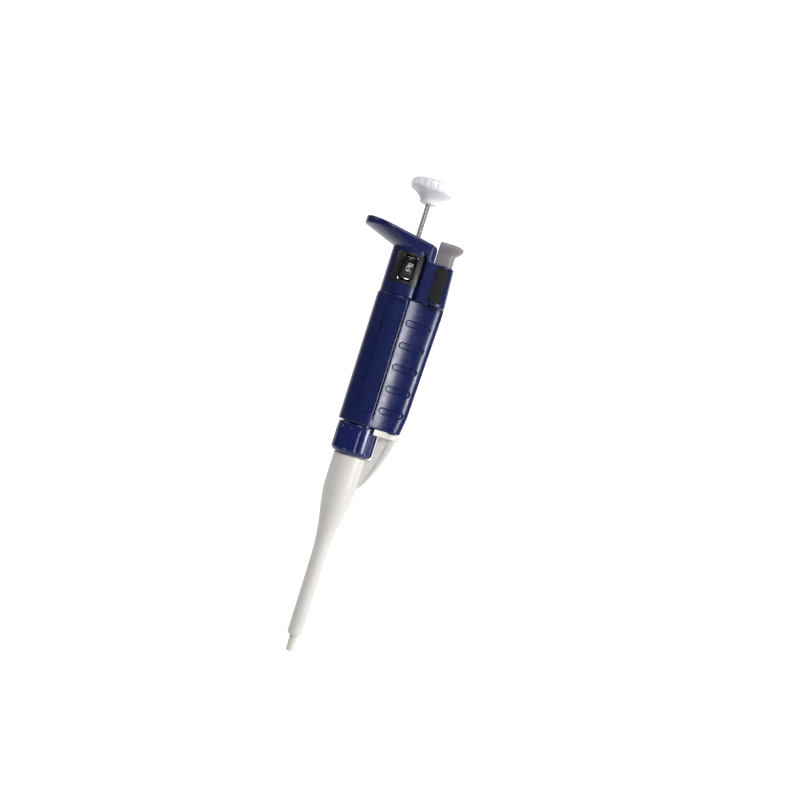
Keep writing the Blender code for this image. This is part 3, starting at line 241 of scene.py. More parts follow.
# %% Moulded plastic
def moulded_plastic(name, colour, worn, roughness, grain, depth, wear, clear=0.0, gloss_drift=0.08):
    """A grained plastic. Grain is its spacing in millimetres, depth its height, clear the polish on top."""
    material, tree, shader, place = new_material(name)
    drift = node(tree, "ShaderNodeTexNoise", {"Vector": place, "Scale": 1 / (14 * MM), "Detail": 3.0})
    shade = node(tree, "ShaderNodeMapRange", {"Value": drift, "To Min": 0.93, "To Max": 1.07})
    bend = node(tree, "ShaderNodeNewGeometry", {}).outputs["Pointiness"]
    edge = node(tree, "ShaderNodeMapRange", {
        "Value": bend, "From Min": 0.52, "From Max": 0.62, "To Min": 0.0, "To Max": wear})
    rubs = node(tree, "ShaderNodeTexNoise", {"Vector": place, "Scale": 1 / (1.6 * MM), "Detail": 4.0})
    rubbed = node(tree, "ShaderNodeMath", {0: edge, 1: rubs}, operation="MULTIPLY")
    tint = node(tree, "ShaderNodeMix", {0: rubbed, 6: linear(colour), 7: linear(worn)}, data_type="RGBA")
    toned = node(tree, "ShaderNodeVectorMath", {0: tint, "Scale": shade}, operation="SCALE")
    smear = node(tree, "ShaderNodeTexNoise", {"Vector": place, "Scale": 1 / (3.5 * MM), "Detail": 5.0})
    rough = node(tree, "ShaderNodeMapRange", {
        "Value": smear, "From Min": 0.3, "From Max": 0.7,
        "To Min": roughness - gloss_drift, "To Max": roughness + gloss_drift})
    pits = node(tree, "ShaderNodeTexNoise", {
        "Vector": place, "Scale": 1 / (grain * MM), "Detail": 2.0, "Roughness": 0.6})
    bump = node(tree, "ShaderNodeBump", {"Height": pits, "Distance": depth * MM, "Strength": 1.0})
    feed(tree, shader, {
        "Base Color": toned, "Roughness": rough, "Normal": bump, "IOR": 1.5,
        "Coat Weight": clear, "Coat Roughness": 0.12})
    return material


WORN_BLUE = "#2C3676"
body_blue = moulded_plastic("blue_grained_housing_plastic", "#0E1A50", WORN_BLUE, 0.26, 0.5, 0.018, 0.7, 0.0, 0.04)
panel_blue = moulded_plastic(
    "blue_grained_side_panel_plastic", "#0D1A4E", WORN_BLUE, 0.26, 0.5, 0.008, 0.6, 0.0, 0.04)
collar_blue = moulded_plastic("blue_glossy_collar_plastic", "#0F1B5C", WORN_BLUE, 0.2, 0.6, 0.005, 0.5, 0.3, 0.03)
arm_white = moulded_plastic("white_ejector_arm_plastic", "#DEDBD7", "#E8E6E2", 0.36, 0.35, 0.006, 0.3)
button_white = moulded_plastic("white_push_button_plastic", "#F1F0F7", "#F6F5F9", 0.34, 0.3, 0.006, 0.3)
button_grey = moulded_plastic("grey_ejector_button_plastic", "#817C80", "#9C989C", 0.36, 0.4, 0.010, 0.5)
cone_cream = moulded_plastic("cream_tip_cone_plastic", "#DEDAD2", "#E7E3DC", 0.33, 0.3, 0.006, 0.2)
frame_black = moulded_plastic("black_window_frame_plastic", "#141416", "#2C2C30", 0.38, 0.2, 0.010, 0.5)
drum_black = moulded_plastic("black_number_drum_plastic", "#17171A", "#2A2A2E", 0.5, 0.2, 0.008, 0.4)
inner_white = moulded_plastic("white_pinion_and_retainer_plastic", "#D8D6D0", "#E2E0DC", 0.42, 0.3, 0.006, 0.3)
print("plastics:", len([m for m in bpy.data.materials if "plastic" in m.name]))

# %% [markdown]
# ## Rubber, steel, brass and the clear lens
# The side pads are soft black rubber with a pebbled face. The rod is ground stainless steel, the springs are
# drawn wire and the volume screw is turned brass, and all of them carry fine rings round the axis. The lens
# is clear acrylic, faintly scuffed.


# %% Pebbled rubber
def pebbled_rubber(name, colour, pebble, depth):
    """Rubber whose face is cast with round pebbles of a given size and height in millimetres."""
    material, tree, shader, place = new_material(name)
    cells = node(tree, "ShaderNodeTexVoronoi", {
        "Vector": place, "Scale": 1 / (pebble * MM), "Smoothness": 0.6}, feature="SMOOTH_F1")
    dome = node(tree, "ShaderNodeMapRange", {
        "Value": cells, "From Min": 0.0, "From Max": 0.7, "To Min": 1.0, "To Max": 0.0})
    bump = node(tree, "ShaderNodeBump", {"Height": dome, "Distance": depth * MM, "Strength": 1.0})
    dust = node(tree, "ShaderNodeTexNoise", {"Vector": place, "Scale": 1 / (2.5 * MM), "Detail": 4.0})
    tint = node(tree, "ShaderNodeMix", {0: dust, 6: linear(colour), 7: linear("#121214")}, data_type="RGBA")
    rough = node(tree, "ShaderNodeMapRange", {"Value": dust, "To Min": 0.55, "To Max": 0.8})
    feed(tree, shader, {"Base Color": tint, "Roughness": rough, "Normal": bump, "Specular IOR Level": 0.25})
    return material


pad_black = pebbled_rubber("black_pebbled_pad_rubber", "#060607", 0.9, 0.12)
seal_black = pebbled_rubber("black_seal_ring_rubber", "#101012", 0.3, 0.004)
print("rubbers:", pad_black.name, seal_black.name)


# %% Turned metal
RING_PITCH = 0.12


def turned_metal(name, colour, dulled, roughness, depth=0.002):
    """Bare metal with the fine rings that turning and polishing leave round the axis."""
    material, tree, shader, place = new_material(name)
    stretch = node(tree, "ShaderNodeMapping", {"Vector": place, "Scale": (0.04, 0.04, 1.0)})
    rings = node(tree, "ShaderNodeTexNoise", {
        "Vector": stretch, "Scale": 1 / (RING_PITCH * MM), "Detail": 3.0})
    bump = node(tree, "ShaderNodeBump", {"Height": rings, "Distance": depth * MM, "Strength": 1.0})
    smear = node(tree, "ShaderNodeTexNoise", {"Vector": place, "Scale": 1 / (2 * MM), "Detail": 4.0})
    rough = node(tree, "ShaderNodeMapRange", {
        "Value": smear, "To Min": roughness - 0.06, "To Max": roughness + 0.08})
    tint = node(tree, "ShaderNodeMix", {0: smear, 6: linear(colour), 7: linear(dulled)}, data_type="RGBA")
    feed(tree, shader, {"Base Color": tint, "Roughness": rough, "Normal": bump, "Metallic": 1.0})
    return material


rod_steel = turned_metal("polished_stainless_rod_steel", "#C4C2BF", "#B4B1AE", 0.24, depth=0.0004)
spring_steel = turned_metal("drawn_spring_steel_wire", "#929296", "#808085", 0.32)
screw_brass = turned_metal("turned_brass", "#C9A55A", "#B8924A", 0.28)
print("metals:", rod_steel.name, spring_steel.name, screw_brass.name)

# %% Clear lens
lens_clear, tree, shader, place = new_material("clear_polished_acrylic_lens")
scuff = node(tree, "ShaderNodeTexNoise", {"Vector": place, "Scale": 1 / (1.5 * MM), "Detail": 6.0})
haze = node(tree, "ShaderNodeMapRange", {"Value": scuff, "To Min": 0.02, "To Max": 0.08})
feed(tree, shader, {"Base Color": linear("#F4F7FA"), "Roughness": haze, "Transmission Weight": 1.0, "IOR": 1.49})
print("lens:", lens_clear.name)

# %% [markdown]
# ## Tools for shapes
# Three ways cover this object. Turned pieces spin a rounded profile. Skins join closed rings of points,
# which suits the grip, whose section changes along its length. The head and the arm are joined and cut from
# simple bodies, and then remeshed and smoothed, which rounds every edge as a mould does.


# %% Rounded outlines
def eased(corners, steps=6):
    """A closed outline whose corners (u, v, radius) are rounded."""
    points = []
    for i, (u, v, radius) in enumerate(corners):
        spot = Vector((u, v))
        before = Vector(corners[i - 1][:2]) - spot
        after = Vector(corners[(i + 1) % len(corners)][:2]) - spot
        if radius <= 0 or not before.length or not after.length:
            points.append(spot)
            continue
        half = before.angle(after) / 2
        reach = min(radius / tan(half), 0.49 * before.length, 0.49 * after.length)
        start, end = spot + before.normalized() * reach, spot + after.normalized() * reach
        for k in range(steps + 1):
            t = k / steps
            points.append(start * (1 - t) ** 2 + spot * 2 * t * (1 - t) + end * t * t)
    return [(p.x, p.y) for p in points]


def spline(points, steps):
    """A smooth curve through points (Catmull-Rom)."""
    ends = [points[0]] + list(points) + [points[-1]]
    curve = []
    for a, b, c, d in zip(ends, ends[1:], ends[2:], ends[3:]):
        a, b, c, d = (Vector(p) for p in (a, b, c, d))
        for k in range(steps):
            t = k / steps
            curve.append(tuple(0.5 * (
                2 * b + (c - a) * t + (2 * a - 5 * b + 4 * c - d) * t * t + (3 * b - a - 3 * c + d) * t ** 3)))
    return curve + [tuple(points[-1])]


def arc(centre_u, centre_v, radius, from_deg, to_deg, steps=12):
    """Points along an arc, both ends included."""
    angles = [radians(from_deg + (to_deg - from_deg) * i / steps) for i in range(steps + 1)]
    return [(centre_u + radius * cos(a), centre_v + radius * sin(a)) for a in angles]


def ease(value):
    """Smooth step from 0 to 1."""
    value = min(max(value, 0.0), 1.0)
    return value * value * (3 - 2 * value)


def mirrored(near, first=0, last=0):
    """A near half outline and its far twin, whose first or last points are left out on the middle line."""
    return near + [(x, -y) for x, y in near[first:len(near) - last][::-1]]


# %% Make meshes
def to_object(name, shape):
    """Turn a bmesh into an object."""
    mesh = bpy.data.meshes.new(name)
    shape.to_mesh(mesh)
    shape.free()
    return to_scene(name, mesh)


def smooth(piece, sharp_deg):
    """Shade a piece smooth, with edges that bend more than an angle left sharp."""
    piece.data.shade_smooth()
    piece.data.set_sharp_from_angle(angle=radians(sharp_deg))
    return piece


def closed(name, shape):
    """Turn a closed bmesh into an object, with its faces turned outward."""
    bmesh.ops.recalc_face_normals(shape, faces=shape.faces)
    return smooth(to_object(name, shape), 40)


def turned(name, outline, steps, x=0.0, radius_at=None):
    """Spin a closed outline of (radius, height). radius_at may change a radius by angle and height."""
    shape = bmesh.new()
    rings = []
    for i in range(steps):
        angle = 2 * pi * i / steps
        ring = []
        for r, z in outline:
            own = radius_at(r, z, angle) if radius_at else r
            ring.append(shape.verts.new((x + own * cos(angle), own * sin(angle), z)))
        rings.append(ring)
    for i in range(steps):
        here, after = rings[i - 1], rings[i]
        for k in range(len(outline)):
            shape.faces.new((here[k - 1], here[k], after[k], after[k - 1]))
    bmesh.ops.remove_doubles(shape, verts=shape.verts, dist=1e-5)
    bmesh.ops.dissolve_degenerate(shape, edges=shape.edges, dist=1e-6)
    return closed(name, shape)


def skin(name, rings, tube=False):
    """Join closed rings of points. A tube's last ring meets its first, and any other shape gets two ends."""
    shape = bmesh.new()
    lines = [[shape.verts.new(p) for p in ring] for ring in rings]
    for low, high in zip(lines, lines[1:] + (lines[:1] if tube else [])):
        for i in range(len(low)):
            shape.faces.new((low[i - 1], low[i], high[i], high[i - 1]))
    if not tube:
        shape.faces.new(lines[0][::-1])
        shape.faces.new(lines[-1])
    return closed(name, shape)


def cylinder(name, radius, low, high, steps, x=0.0):
    """A plain upright cylinder."""
    return turned(name, [(0, low), (radius, low), (radius, high), (0, high)], steps, x)


def prism(name, outline, low, high, along="Z"):
    """Extrude an (x, y) outline up Z, or an (x, z) outline along Y."""
    if along == "Z":
        return skin(name, [[(u, v, w) for u, v in outline] for w in (low, high)])
    return skin(name, [[(u, w, v) for u, v in outline] for w in (low, high)])


# %% Join, cut and round
def combine(piece, other, how="DIFFERENCE"):
    """Cut, join or intersect, at once, and throw the tool away."""
    step = piece.modifiers.new(how.lower(), "BOOLEAN")
    step.operation = how
    step.solver = "EXACT"
    step.object = other
    bake(piece)
    bpy.data.objects.remove(other, do_unlink=True)


def bake(piece):
    """Put the result of a piece's modifiers into its mesh."""
    view = bpy.context.evaluated_depsgraph_get()
    mesh = bpy.data.meshes.new_from_object(piece.evaluated_get(view))
    piece.modifiers.clear()
    piece.data = mesh


def round_edges(piece, width):
    """Round the sharp edges of a thin piece."""
    step = piece.modifiers.new("rounded edges", "BEVEL")
    step.width = width
    step.segments = 3
    step.angle_limit = radians(50)
    bake(piece)


VOXEL = 0.22


def melt(piece, rounds):
    """Remesh evenly and smooth, so that every edge is rounded as a mould's is."""
    step = piece.modifiers.new("even mesh", "REMESH")
    step.mode = "VOXEL"
    step.voxel_size = VOXEL
    step.use_smooth_shade = True
    soften = piece.modifiers.new("rounded edges", "SMOOTH")
    soften.factor = 0.5
    soften.iterations = rounds
    bake(piece)
    piece.data.shade_smooth()


def seat(piece, body, slot, material, *nodes):
    """Bring a finished piece into the frame, on its body, in place of the CAD nodes it stands for."""
    piece.data.transform(Matrix.Translation((0, 0, TIP_Z)) @ Matrix.Scale(MM, 4))
    piece.data.materials.clear()
    piece.data.materials.append(material)
    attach(piece, body)
    if nodes:
        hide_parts(*nodes)
    print(f"{piece.name}: {len(piece.data.polygons)} faces on {body}")


# %% [markdown]
# ## The push button and its rod
# The button is turned: a slim stem that flares into a disc, with a domed top. Shallow notches round the rim
# give a hold when the button is turned to set the volume.

# %% Push button
BUTTON_R = button_high.x
RIM_Z = button_high.z - 4.1
HUB_R = 4.25
NOTCHES = 20
NOTCH_R = 0.8
NOTCH_DEPTH = 0.4
DISC_FROM = BUTTON_R - 2.5


def notched(r, z, angle):
    """The rim's radius with its notches, which fade out on the stem and towards the top."""
    if r < DISC_FROM or z < RIM_Z - 2.0:
        return r
    pitch = 2 * pi / NOTCHES
    off = abs((angle / pitch) % 1.0 - 0.5) * pitch * BUTTON_R
    dip = max(0.0, sqrt(max(NOTCH_R ** 2 - off ** 2, 0.0)) - (NOTCH_R - NOTCH_DEPTH))
    return min(r, BUTTON_R - dip) if z < RIM_Z + 2.0 else r - dip * 0.5 * (DISC_FROM < r)


low_z, top_z = button_low.z, button_high.z
flare = spline([
    (HUB_R, low_z + 0.6), (HUB_R + 0.45, low_z + 1.8), (HUB_R + 1.1, low_z + 2.7), (HUB_R + 2.4, low_z + 3.9),
    (HUB_R + 4.0, low_z + 4.9), (HUB_R + 5.8, low_z + 5.9), (BUTTON_R - 0.25, RIM_Z - 0.9)], 5)
rim = spline([
    (BUTTON_R, RIM_Z - 0.3), (BUTTON_R, RIM_Z + 0.6), (BUTTON_R - 0.05, RIM_Z + 1.4),
    (BUTTON_R - 0.5, RIM_Z + 2.4), (BUTTON_R - 1.8, top_z - 0.8), (BUTTON_R - 4.5, top_z - 0.2),
    (BUTTON_R - 8.0, top_z - 0.02)], 5)
outline = [(0.0, low_z), (HUB_R - 0.6, low_z), (HUB_R - 0.15, low_z + 0.2)] + flare + rim + [(0.0, top_z)]
button = turned("push_button", outline, NOTCHES * 16, radius_at=notched)
seat(button, "dial", "white_plastic", button_white, "push_button")

# %% [markdown]
# The rod is a ground steel pin, thicker where the volume screw guides it. A black plastic bush keeps it off
# the housing.

# %% Plunger rod
ROD_R = 1.18
ROD_FOOT_R = 2.1
ROD_STEP_Z = 190.0
rod_low, rod_high = span("plunger_rod")
outline = eased([
    (0, rod_low.z, 0), (ROD_FOOT_R, rod_low.z, 0.2), (ROD_FOOT_R, ROD_STEP_Z, 0.2), (ROD_R, ROD_STEP_Z + 0.4, 0.1),
    (ROD_R, rod_high.z, 0.2), (0, rod_high.z, 0)])
seat(turned("plunger_rod", outline, 48), "dial", "polished_steel", rod_steel, "plunger_rod")

# %% Guide bush
bush_low, bush_high = span("guide_bush")
BUSH_BORE_R = ROD_R + 0.25
BUSH_R = 1.9
outline = eased([
    (BUSH_BORE_R, bush_low.z, 0.1), (BUSH_R, bush_low.z, 0.2), (BUSH_R, bush_high.z, 0.25),
    (BUSH_BORE_R, bush_high.z, 0.25)])
seat(turned("guide_bush", outline, 48), "handle", "black_plastic", frame_black, "guide_bush")

# %% [markdown]
# ## The grip body
# The barrel is round, and draws in to a slim rail with a round end that hides the ejector rod. The finger
# grooves, the seam and the panel's gap are depths taken off that one section, and the mesh is dense only
# where they lie. Below, the skin turns in to the neck for the collar and runs back up inside as a bore.

# %% The grip's section
BARREL_R = 10.9
FLANK_FROM_X = 6.0
EJECTOR_X = 16.2
RAIL_HALF = 4.75
RAIL_END_BACK = 2.7
RAIL_FRONT_FOOT, RAIL_FRONT_KNEE, RAIL_FRONT_TOP = 20.1, 21.3, 22.8
RAIL_KNEE_Z, RAIL_FULL_Z = 125.0, 176.0
NECK_R = 8.4
NECK_BORE_R = 7.0
NECK_LOW = 105.3
GRIP_LOW = collar_high.z + 0.7
GRIP_HIGH = grip_high.z


def rail_front(z):
    """How far the rail's front stands from the axis at a height."""
    foot, knee, top = RAIL_FRONT_FOOT, RAIL_FRONT_KNEE, RAIL_FRONT_TOP
    if z < RAIL_KNEE_Z:
        return foot + (knee - foot) * (z - GRIP_LOW) / (RAIL_KNEE_Z - GRIP_LOW)
    return knee + (top - knee) * min((z - RAIL_KNEE_Z) / (RAIL_FULL_Z - RAIL_KNEE_Z), 1.0)


def flank(x):
    """Half the rail's width behind the ejector rod: it draws in from the barrel's round."""
    reach = EJECTOR_X - x
    return RAIL_HALF + 0.2 * reach + 0.0225 * reach ** 2


def rail_end(front):
    """The rail's round end, from beside the ejector rod to the front centre: part of an ellipse."""
    reach = front - EJECTOR_X + RAIL_END_BACK
    start = acos(RAIL_END_BACK / reach)
    points = []
    for i in range(27):
        a = start * (1 - i / 26)
        points.append((EJECTOR_X - RAIL_END_BACK + reach * cos(a), -RAIL_HALF * sin(a) / sin(start)))
    return points


def grip_outline(front):
    """The near half of the section, from the back round to the front, as (x, y)."""
    turn_deg = [180 + i for i in range(0, 62, 3)] + [243 + 0.55 * i for i in range(120)]
    near = [(BARREL_R * cos(radians(d)), BARREL_R * sin(radians(d))) for d in turn_deg]
    near = [(x, y) for x, y in near if x < FLANK_FROM_X]
    sides = [FLANK_FROM_X + 0.24 * i for i in range(42)]
    return near + [(x, -flank(x)) for x in sides] + rail_end(front)


print("points in the grip's section:", 2 * len(grip_outline(RAIL_FRONT_TOP)) - 2)

# %% Depths taken off the grip
GROOVES = 5
GROOVE_FIRST = 125.0
GROOVE_PITCH = 11.0
GROOVE_HALF = 1.7
GROOVE_LEFT, GROOVE_RIGHT = 7.0, 19.4
GROOVE_DEPTH = 0.75
GROOVE_EDGE = 0.55
SEAM_X = 5.25
SEAM_HALF = 0.45
SEAM_DEPTH = 0.8
SEAM_EASE = 0.3
SEAM_LOW = 120.5
SEAM_RUN_OUT = 2.0
PANEL_LOW, PANEL_HIGH = 122.4, 178.0
PANEL = (-4.0, 4.0, PANEL_LOW, PANEL_HIGH, 1.4)
PANEL_GAP = 0.3
PANEL_RECESS = 1.2
PANEL_FACE_R = 17.0
PANEL_SUNK = 0.5
LOW_ROUND, HIGH_ROUND = 0.6, 0.4


def box_distance(u, v, left, right, low, high, radius):
    """Signed distance to a rectangle with round corners, negative inside."""
    du = abs(u - (left + right) / 2) - (right - left) / 2 + radius
    dv = abs(v - (low + high) / 2) - (high - low) / 2 + radius
    return hypot(max(du, 0), max(dv, 0)) + min(max(du, dv), 0) - radius


def groove_depth(x, z):
    """How deep the finger grooves go at a place on the rail's side."""
    middle_z = GROOVE_FIRST + GROOVE_PITCH * min(max(round((z - GROOVE_FIRST) / GROOVE_PITCH), 0), GROOVES - 1)
    off = box_distance(x, z, GROOVE_LEFT, GROOVE_RIGHT, middle_z - GROOVE_HALF, middle_z + GROOVE_HALF, GROOVE_HALF)
    return GROOVE_DEPTH * ease(-off / GROOVE_EDGE)


def seam_depth(x, z):
    """The seam between barrel and rail, which runs out towards the lower end."""
    return SEAM_DEPTH * ease((SEAM_HALF - abs(x - SEAM_X)) / SEAM_EASE) * ease((z - SEAM_LOW) / SEAM_RUN_OUT)


def panel_depth(x, z):
    """The narrow gap round the side panel, and the floor under it."""
    off = box_distance(x, z, *PANEL)
    return PANEL_RECESS * ease((PANEL_GAP + 0.1 - off) / 0.2)


def end_depth(above, radius):
    """How far the skin has turned in at a small height above or below one of its round ends."""
    left = max(0.0, 1 - above / radius)
    return radius * (1 - sqrt(max(0.0, 1 - left ** 2)))


print("deepest groove:", groove_depth((GROOVE_LEFT + GROOVE_RIGHT) / 2, GROOVE_FIRST), "mm")


# %% Grip body
def grip_heights():
    """Heights of the rings: close together at the grooves, the panel's ends and both ends."""
    heights = [GRIP_LOW + LOW_ROUND * i / 5 for i in range(6)]
    heights += [GRIP_HIGH - HIGH_ROUND * i / 4 for i in range(5)]
    for i in range(GROOVES):
        middle_z = GROOVE_FIRST + GROOVE_PITCH * i
        heights += [middle_z + 0.17 * k for k in range(-12, 13)]
    for end in (PANEL_LOW, PANEL_HIGH):
        heights += [end + 0.12 * k for k in range(-7, 17 if end == PANEL_LOW else 8)]
    heights += [PANEL_HIGH - 0.15 * k for k in range(14)]
    heights += [GRIP_LOW + 2.0 * k for k in range(32)]
    chosen = []
    for z in sorted(heights):
        if z <= GRIP_HIGH and (not chosen or z - chosen[-1] > 0.06):
            chosen.append(z)
    return chosen


def grip_body():
    """The neck, barrel and rail as one skin."""
    steps = len(grip_outline(rail_front(GRIP_LOW))) - 1
    rings = []
    for radius, z in ((NECK_BORE_R, GRIP_HIGH), (NECK_BORE_R, NECK_LOW), (NECK_R, NECK_LOW), (NECK_R, GRIP_LOW)):
        rings.append([(x, y, z) for x, y in mirrored(arc(0, 0, radius, 180, 360, steps), 1, 1)])
    for z in grip_heights():
        near = grip_outline(rail_front(z))
        shut = end_depth(z - GRIP_LOW, LOW_ROUND) + end_depth(GRIP_HIGH - z, HIGH_ROUND)
        ring, twin = [], []
        for i, (x, y) in enumerate(near):
            before, after = near[max(i - 1, 0)], near[min(i + 1, len(near) - 1)]
            along = Vector((after[0] - before[0], after[1] - before[1])).normalized()
            out = Vector((along.y, -along.x)) if 0 < i < len(near) - 1 else Vector((-1 if i == 0 else 1, 0))
            depth = shut + (groove_depth(x, z) if x > FLANK_FROM_X else seam_depth(x, z))
            twin.append((x - out.x * depth, -y + out.y * depth, z))
            depth += panel_depth(x, z) if x < SEAM_X - SEAM_HALF else 0.0
            ring.append((x - out.x * depth, y - out.y * depth, z))
        rings.append(ring + twin[-2:0:-1])
    return skin("grip_body", rings, tube=True)


seat(grip_body(), "handle", "body_plastic", body_blue, "grip_body")


# %% [markdown]
# ## The side panel
# A long plate lies in the barrel's near side: a grid of points on a slightly flatter round than the
# barrel's, thickened inward. The grip pads are made the same way later.


# %% Side panel
def patch(name, rows, thickness, bevel):
    """An open grid of points thickened inward, with its edges rounded."""
    shape = bmesh.new()
    lines = [[shape.verts.new(p) for p in row] for row in rows]
    for low, high in zip(lines, lines[1:]):
        for i in range(len(low) - 1):
            shape.faces.new((low[i], low[i + 1], high[i + 1], high[i]))
    for face in shape.faces:
        face.normal_update()
    made = to_object(name, shape)
    thick = made.modifiers.new("thickness", "SOLIDIFY")
    thick.thickness = thickness
    thick.offset = -1.0
    round_edges(made, bevel)
    return smooth(made, 60)


def rounded_rows(left, right, low, high, radius, across, step, depth_at):
    """Rows of points that fill a rectangle with round corners, on a surface y = depth_at(x, z)."""
    turn_in = [radius * (1 - cos(radians(90 * i / 8))) for i in range(9)]
    heights = [low + rise for rise in turn_in]
    heights[0] += 0.01
    middle_steps = max(int((high - low - 2 * radius) / step), 1)
    heights += [low + radius + (high - low - 2 * radius) * i / middle_steps for i in range(1, middle_steps)]
    heights += [high - rise for rise in turn_in[::-1]]
    heights[-1] -= 0.01
    rows = []
    for z in heights:
        over = max(0.0, low + radius - z, z - high + radius)
        cut_in = radius - sqrt(max(radius ** 2 - over ** 2, 0.0))
        a, b = left + cut_in, right - cut_in
        xs = [a + (b - a) * i / across for i in range(across + 1)]
        rows.append([(x, depth_at(x, z), z) for x in xs])
    return rows


def panel_face(x, z):
    """The panel's face: a little sunk, and flatter than the barrel."""
    return PANEL_FACE_R - BARREL_R + PANEL_SUNK - sqrt(PANEL_FACE_R ** 2 - x * x)


PANEL_THICK = 0.6
rows = rounded_rows(*PANEL, 40, 2.0, panel_face)
seat(patch("side_panel", rows, PANEL_THICK, 0.16), "handle", "body_plastic", panel_blue, "side_panel")

# %% [markdown]
# ## The collar nut
# The collar screws on the neck and holds the tip cone. Each flute is a shallow scoop with round ends, taken
# off the radius of the turned profile.

# %% Collar nut
COLLAR_R = collar_high.x
COLLAR_ROUND = 2.3
COLLAR_BORE_R, COLLAR_MOUTH_R = 8.7, 6.95
COLLAR_LIP = 2.1
FLUTES = 12
FLUTE_R = 1.15
FLUTE_DEPTH = 0.5
FLUTE_LOW, FLUTE_HIGH = 101.5, 113.3
FLUTE_START = radians(-167.0)


def fluted(r, z, angle):
    """The collar's radius with its flutes."""
    if r < COLLAR_R - 2.0:
        return r
    pitch = 2 * pi / FLUTES
    off = abs(((angle - FLUTE_START) / pitch + 0.5) % 1.0 - 0.5) * pitch * COLLAR_R
    above = max(0.0, FLUTE_LOW + FLUTE_R - z, z - FLUTE_HIGH + FLUTE_R)
    far = hypot(off, above)
    floor_r = COLLAR_R + FLUTE_R - FLUTE_DEPTH
    return min(r, floor_r - sqrt(FLUTE_R ** 2 - far ** 2)) if far < FLUTE_R else r


low_z, top_z = collar_low.z, collar_high.z
side = [low_z + 2.4 + 0.4 * i for i in range(30)]
outline = [(COLLAR_MOUTH_R, low_z + 0.2), (COLLAR_MOUTH_R + 0.2, low_z)]
outline += arc(COLLAR_R - COLLAR_ROUND, low_z + COLLAR_ROUND, COLLAR_ROUND, -90, 0, 14)
outline += [(COLLAR_R, z) for z in side if z < top_z - 0.5]
outline += [(COLLAR_R, top_z - 0.4), (COLLAR_R - 0.12, top_z - 0.12), (COLLAR_R - 0.4, top_z)]
outline += [(COLLAR_BORE_R + 0.2, top_z), (COLLAR_BORE_R, top_z - 0.2)]
outline += [(COLLAR_BORE_R, low_z + COLLAR_LIP), (COLLAR_MOUTH_R, low_z + COLLAR_LIP)]
collar = turned("collar_nut", outline, FLUTES * 30, radius_at=fluted)
seat(collar, "collar", "collar_plastic", collar_blue, "collar_nut")

# %% [markdown]
# ## The ejector arm
# The white arm is one moulding: a long sleeve round the shaft, a web and an oval spine beside the collar,
# and a platform that the ejector rod pushes. The forms are joined, melted into one skin, and bored
# afterwards so that the bores stay crisp.

# %% The sleeve's taper
SLEEVE_LOW, SLEEVE_HIGH = 8.3, 99.8
SLEEVE_R, SLEEVE_TOP_R = 3.65, 8.05
FLARE_LOW, FLARE_HIGH = 45.0, 85.0
FLARE_SKEW = 1.3
SLEEVE_WALL = 0.9


def sleeve_radius(z):
    """The sleeve's outer radius: a slim tube that flares into a wide one."""
    share = min(max((z - FLARE_LOW) / (FLARE_HIGH - FLARE_LOW), 0.0), 1.0) ** FLARE_SKEW
    return SLEEVE_R + (SLEEVE_TOP_R - SLEEVE_R) * ease(share)


flare_heights = [FLARE_LOW + (FLARE_HIGH - FLARE_LOW) * i / 24 for i in range(25)]
print(f"the sleeve widens from {2 * SLEEVE_R:.1f} to {2 * SLEEVE_TOP_R:.1f} mm")

# %% The arm's outer edge
ARM_FOOT = 84.5
ARM_X = 19.8
WEB_HALF = 2.9
PLATFORM_X = 20.5
PLATFORM_TOP = GRIP_LOW - 0.12
PLATFORM_LOW = GRIP_LOW - 3.1
STEP_X = 14.0
STEP_DOWN = 0.45
ARM_GAP_R = 10.55
SOCKET_R = 2.3
SOCKET_DEPTH = 1.6


def arm_contour():
    """The arm's outer edge as (x, z), from the sleeve up to the platform: a lazy S."""
    start, end = Vector((SLEEVE_TOP_R, ARM_FOOT)), Vector((ARM_X, PLATFORM_LOW + 1.0))
    leave, arrive = start + Vector((5.0, 6.2)), end - Vector((2.4, 13.0))
    points = []
    for i in range(41):
        t = i / 40
        spot = start * (1 - t) ** 3 + leave * 3 * t * (1 - t) ** 2
        spot += arrive * 3 * t * t * (1 - t) + end * t ** 3
        points.append((spot.x, spot.y))
    return points


def spine(contour):
    """Oval sections along the arm's outer edge, slim at the sleeve and full at the platform."""
    rings = []
    last = len(contour) - 1
    for i, (x, z) in enumerate(contour):
        before, after = contour[max(i - 1, 0)], contour[min(i + 1, last)]
        way = Vector((after[0] - before[0], after[1] - before[1])).normalized()
        share = i / last
        width = 0.75 + 3.75 * share
        half = WEB_HALF + 0.45 * min(3 * share, 1.0)
        ring = []
        for k in range(40):
            a = 2 * pi * k / 40
            out, side = cos(a), sin(a)
            inward = width / 2 * (1 - abs(out) ** 0.6 * copysign(1, out))
            across = half * abs(side) ** 0.5 * copysign(1, side)
            ring.append((x - way.y * inward, across, z + way.x * inward))
        rings.append(ring)
    return skin("spine_form", rings)


# %% Ejector arm
outline = [(0, SLEEVE_LOW), (SLEEVE_R - 0.3, SLEEVE_LOW), (SLEEVE_R, SLEEVE_LOW + 0.4)]
outline += [(sleeve_radius(z), z) for z in flare_heights] + [(SLEEVE_TOP_R, SLEEVE_HIGH), (0, SLEEVE_HIGH)]
arm = turned("ejector_arm", outline, 128)
contour = arm_contour()
web = prism("web_form", contour + [
    (ARM_GAP_R, PLATFORM_LOW + 1.0), (ARM_GAP_R, SLEEVE_HIGH), (7.0, SLEEVE_HIGH), (7.0, ARM_FOOT)],
    -WEB_HALF, WEB_HALF, "Y")
sides = [7.75 + 0.5 * i for i in range(17)]
plate = mirrored([(x, -flank(x)) for x in sides] + rail_end(PLATFORM_X), last=1)
for form in (web, spine(contour), prism("platform_form", plate, PLATFORM_LOW, PLATFORM_TOP)):
    combine(arm, form, "UNION")
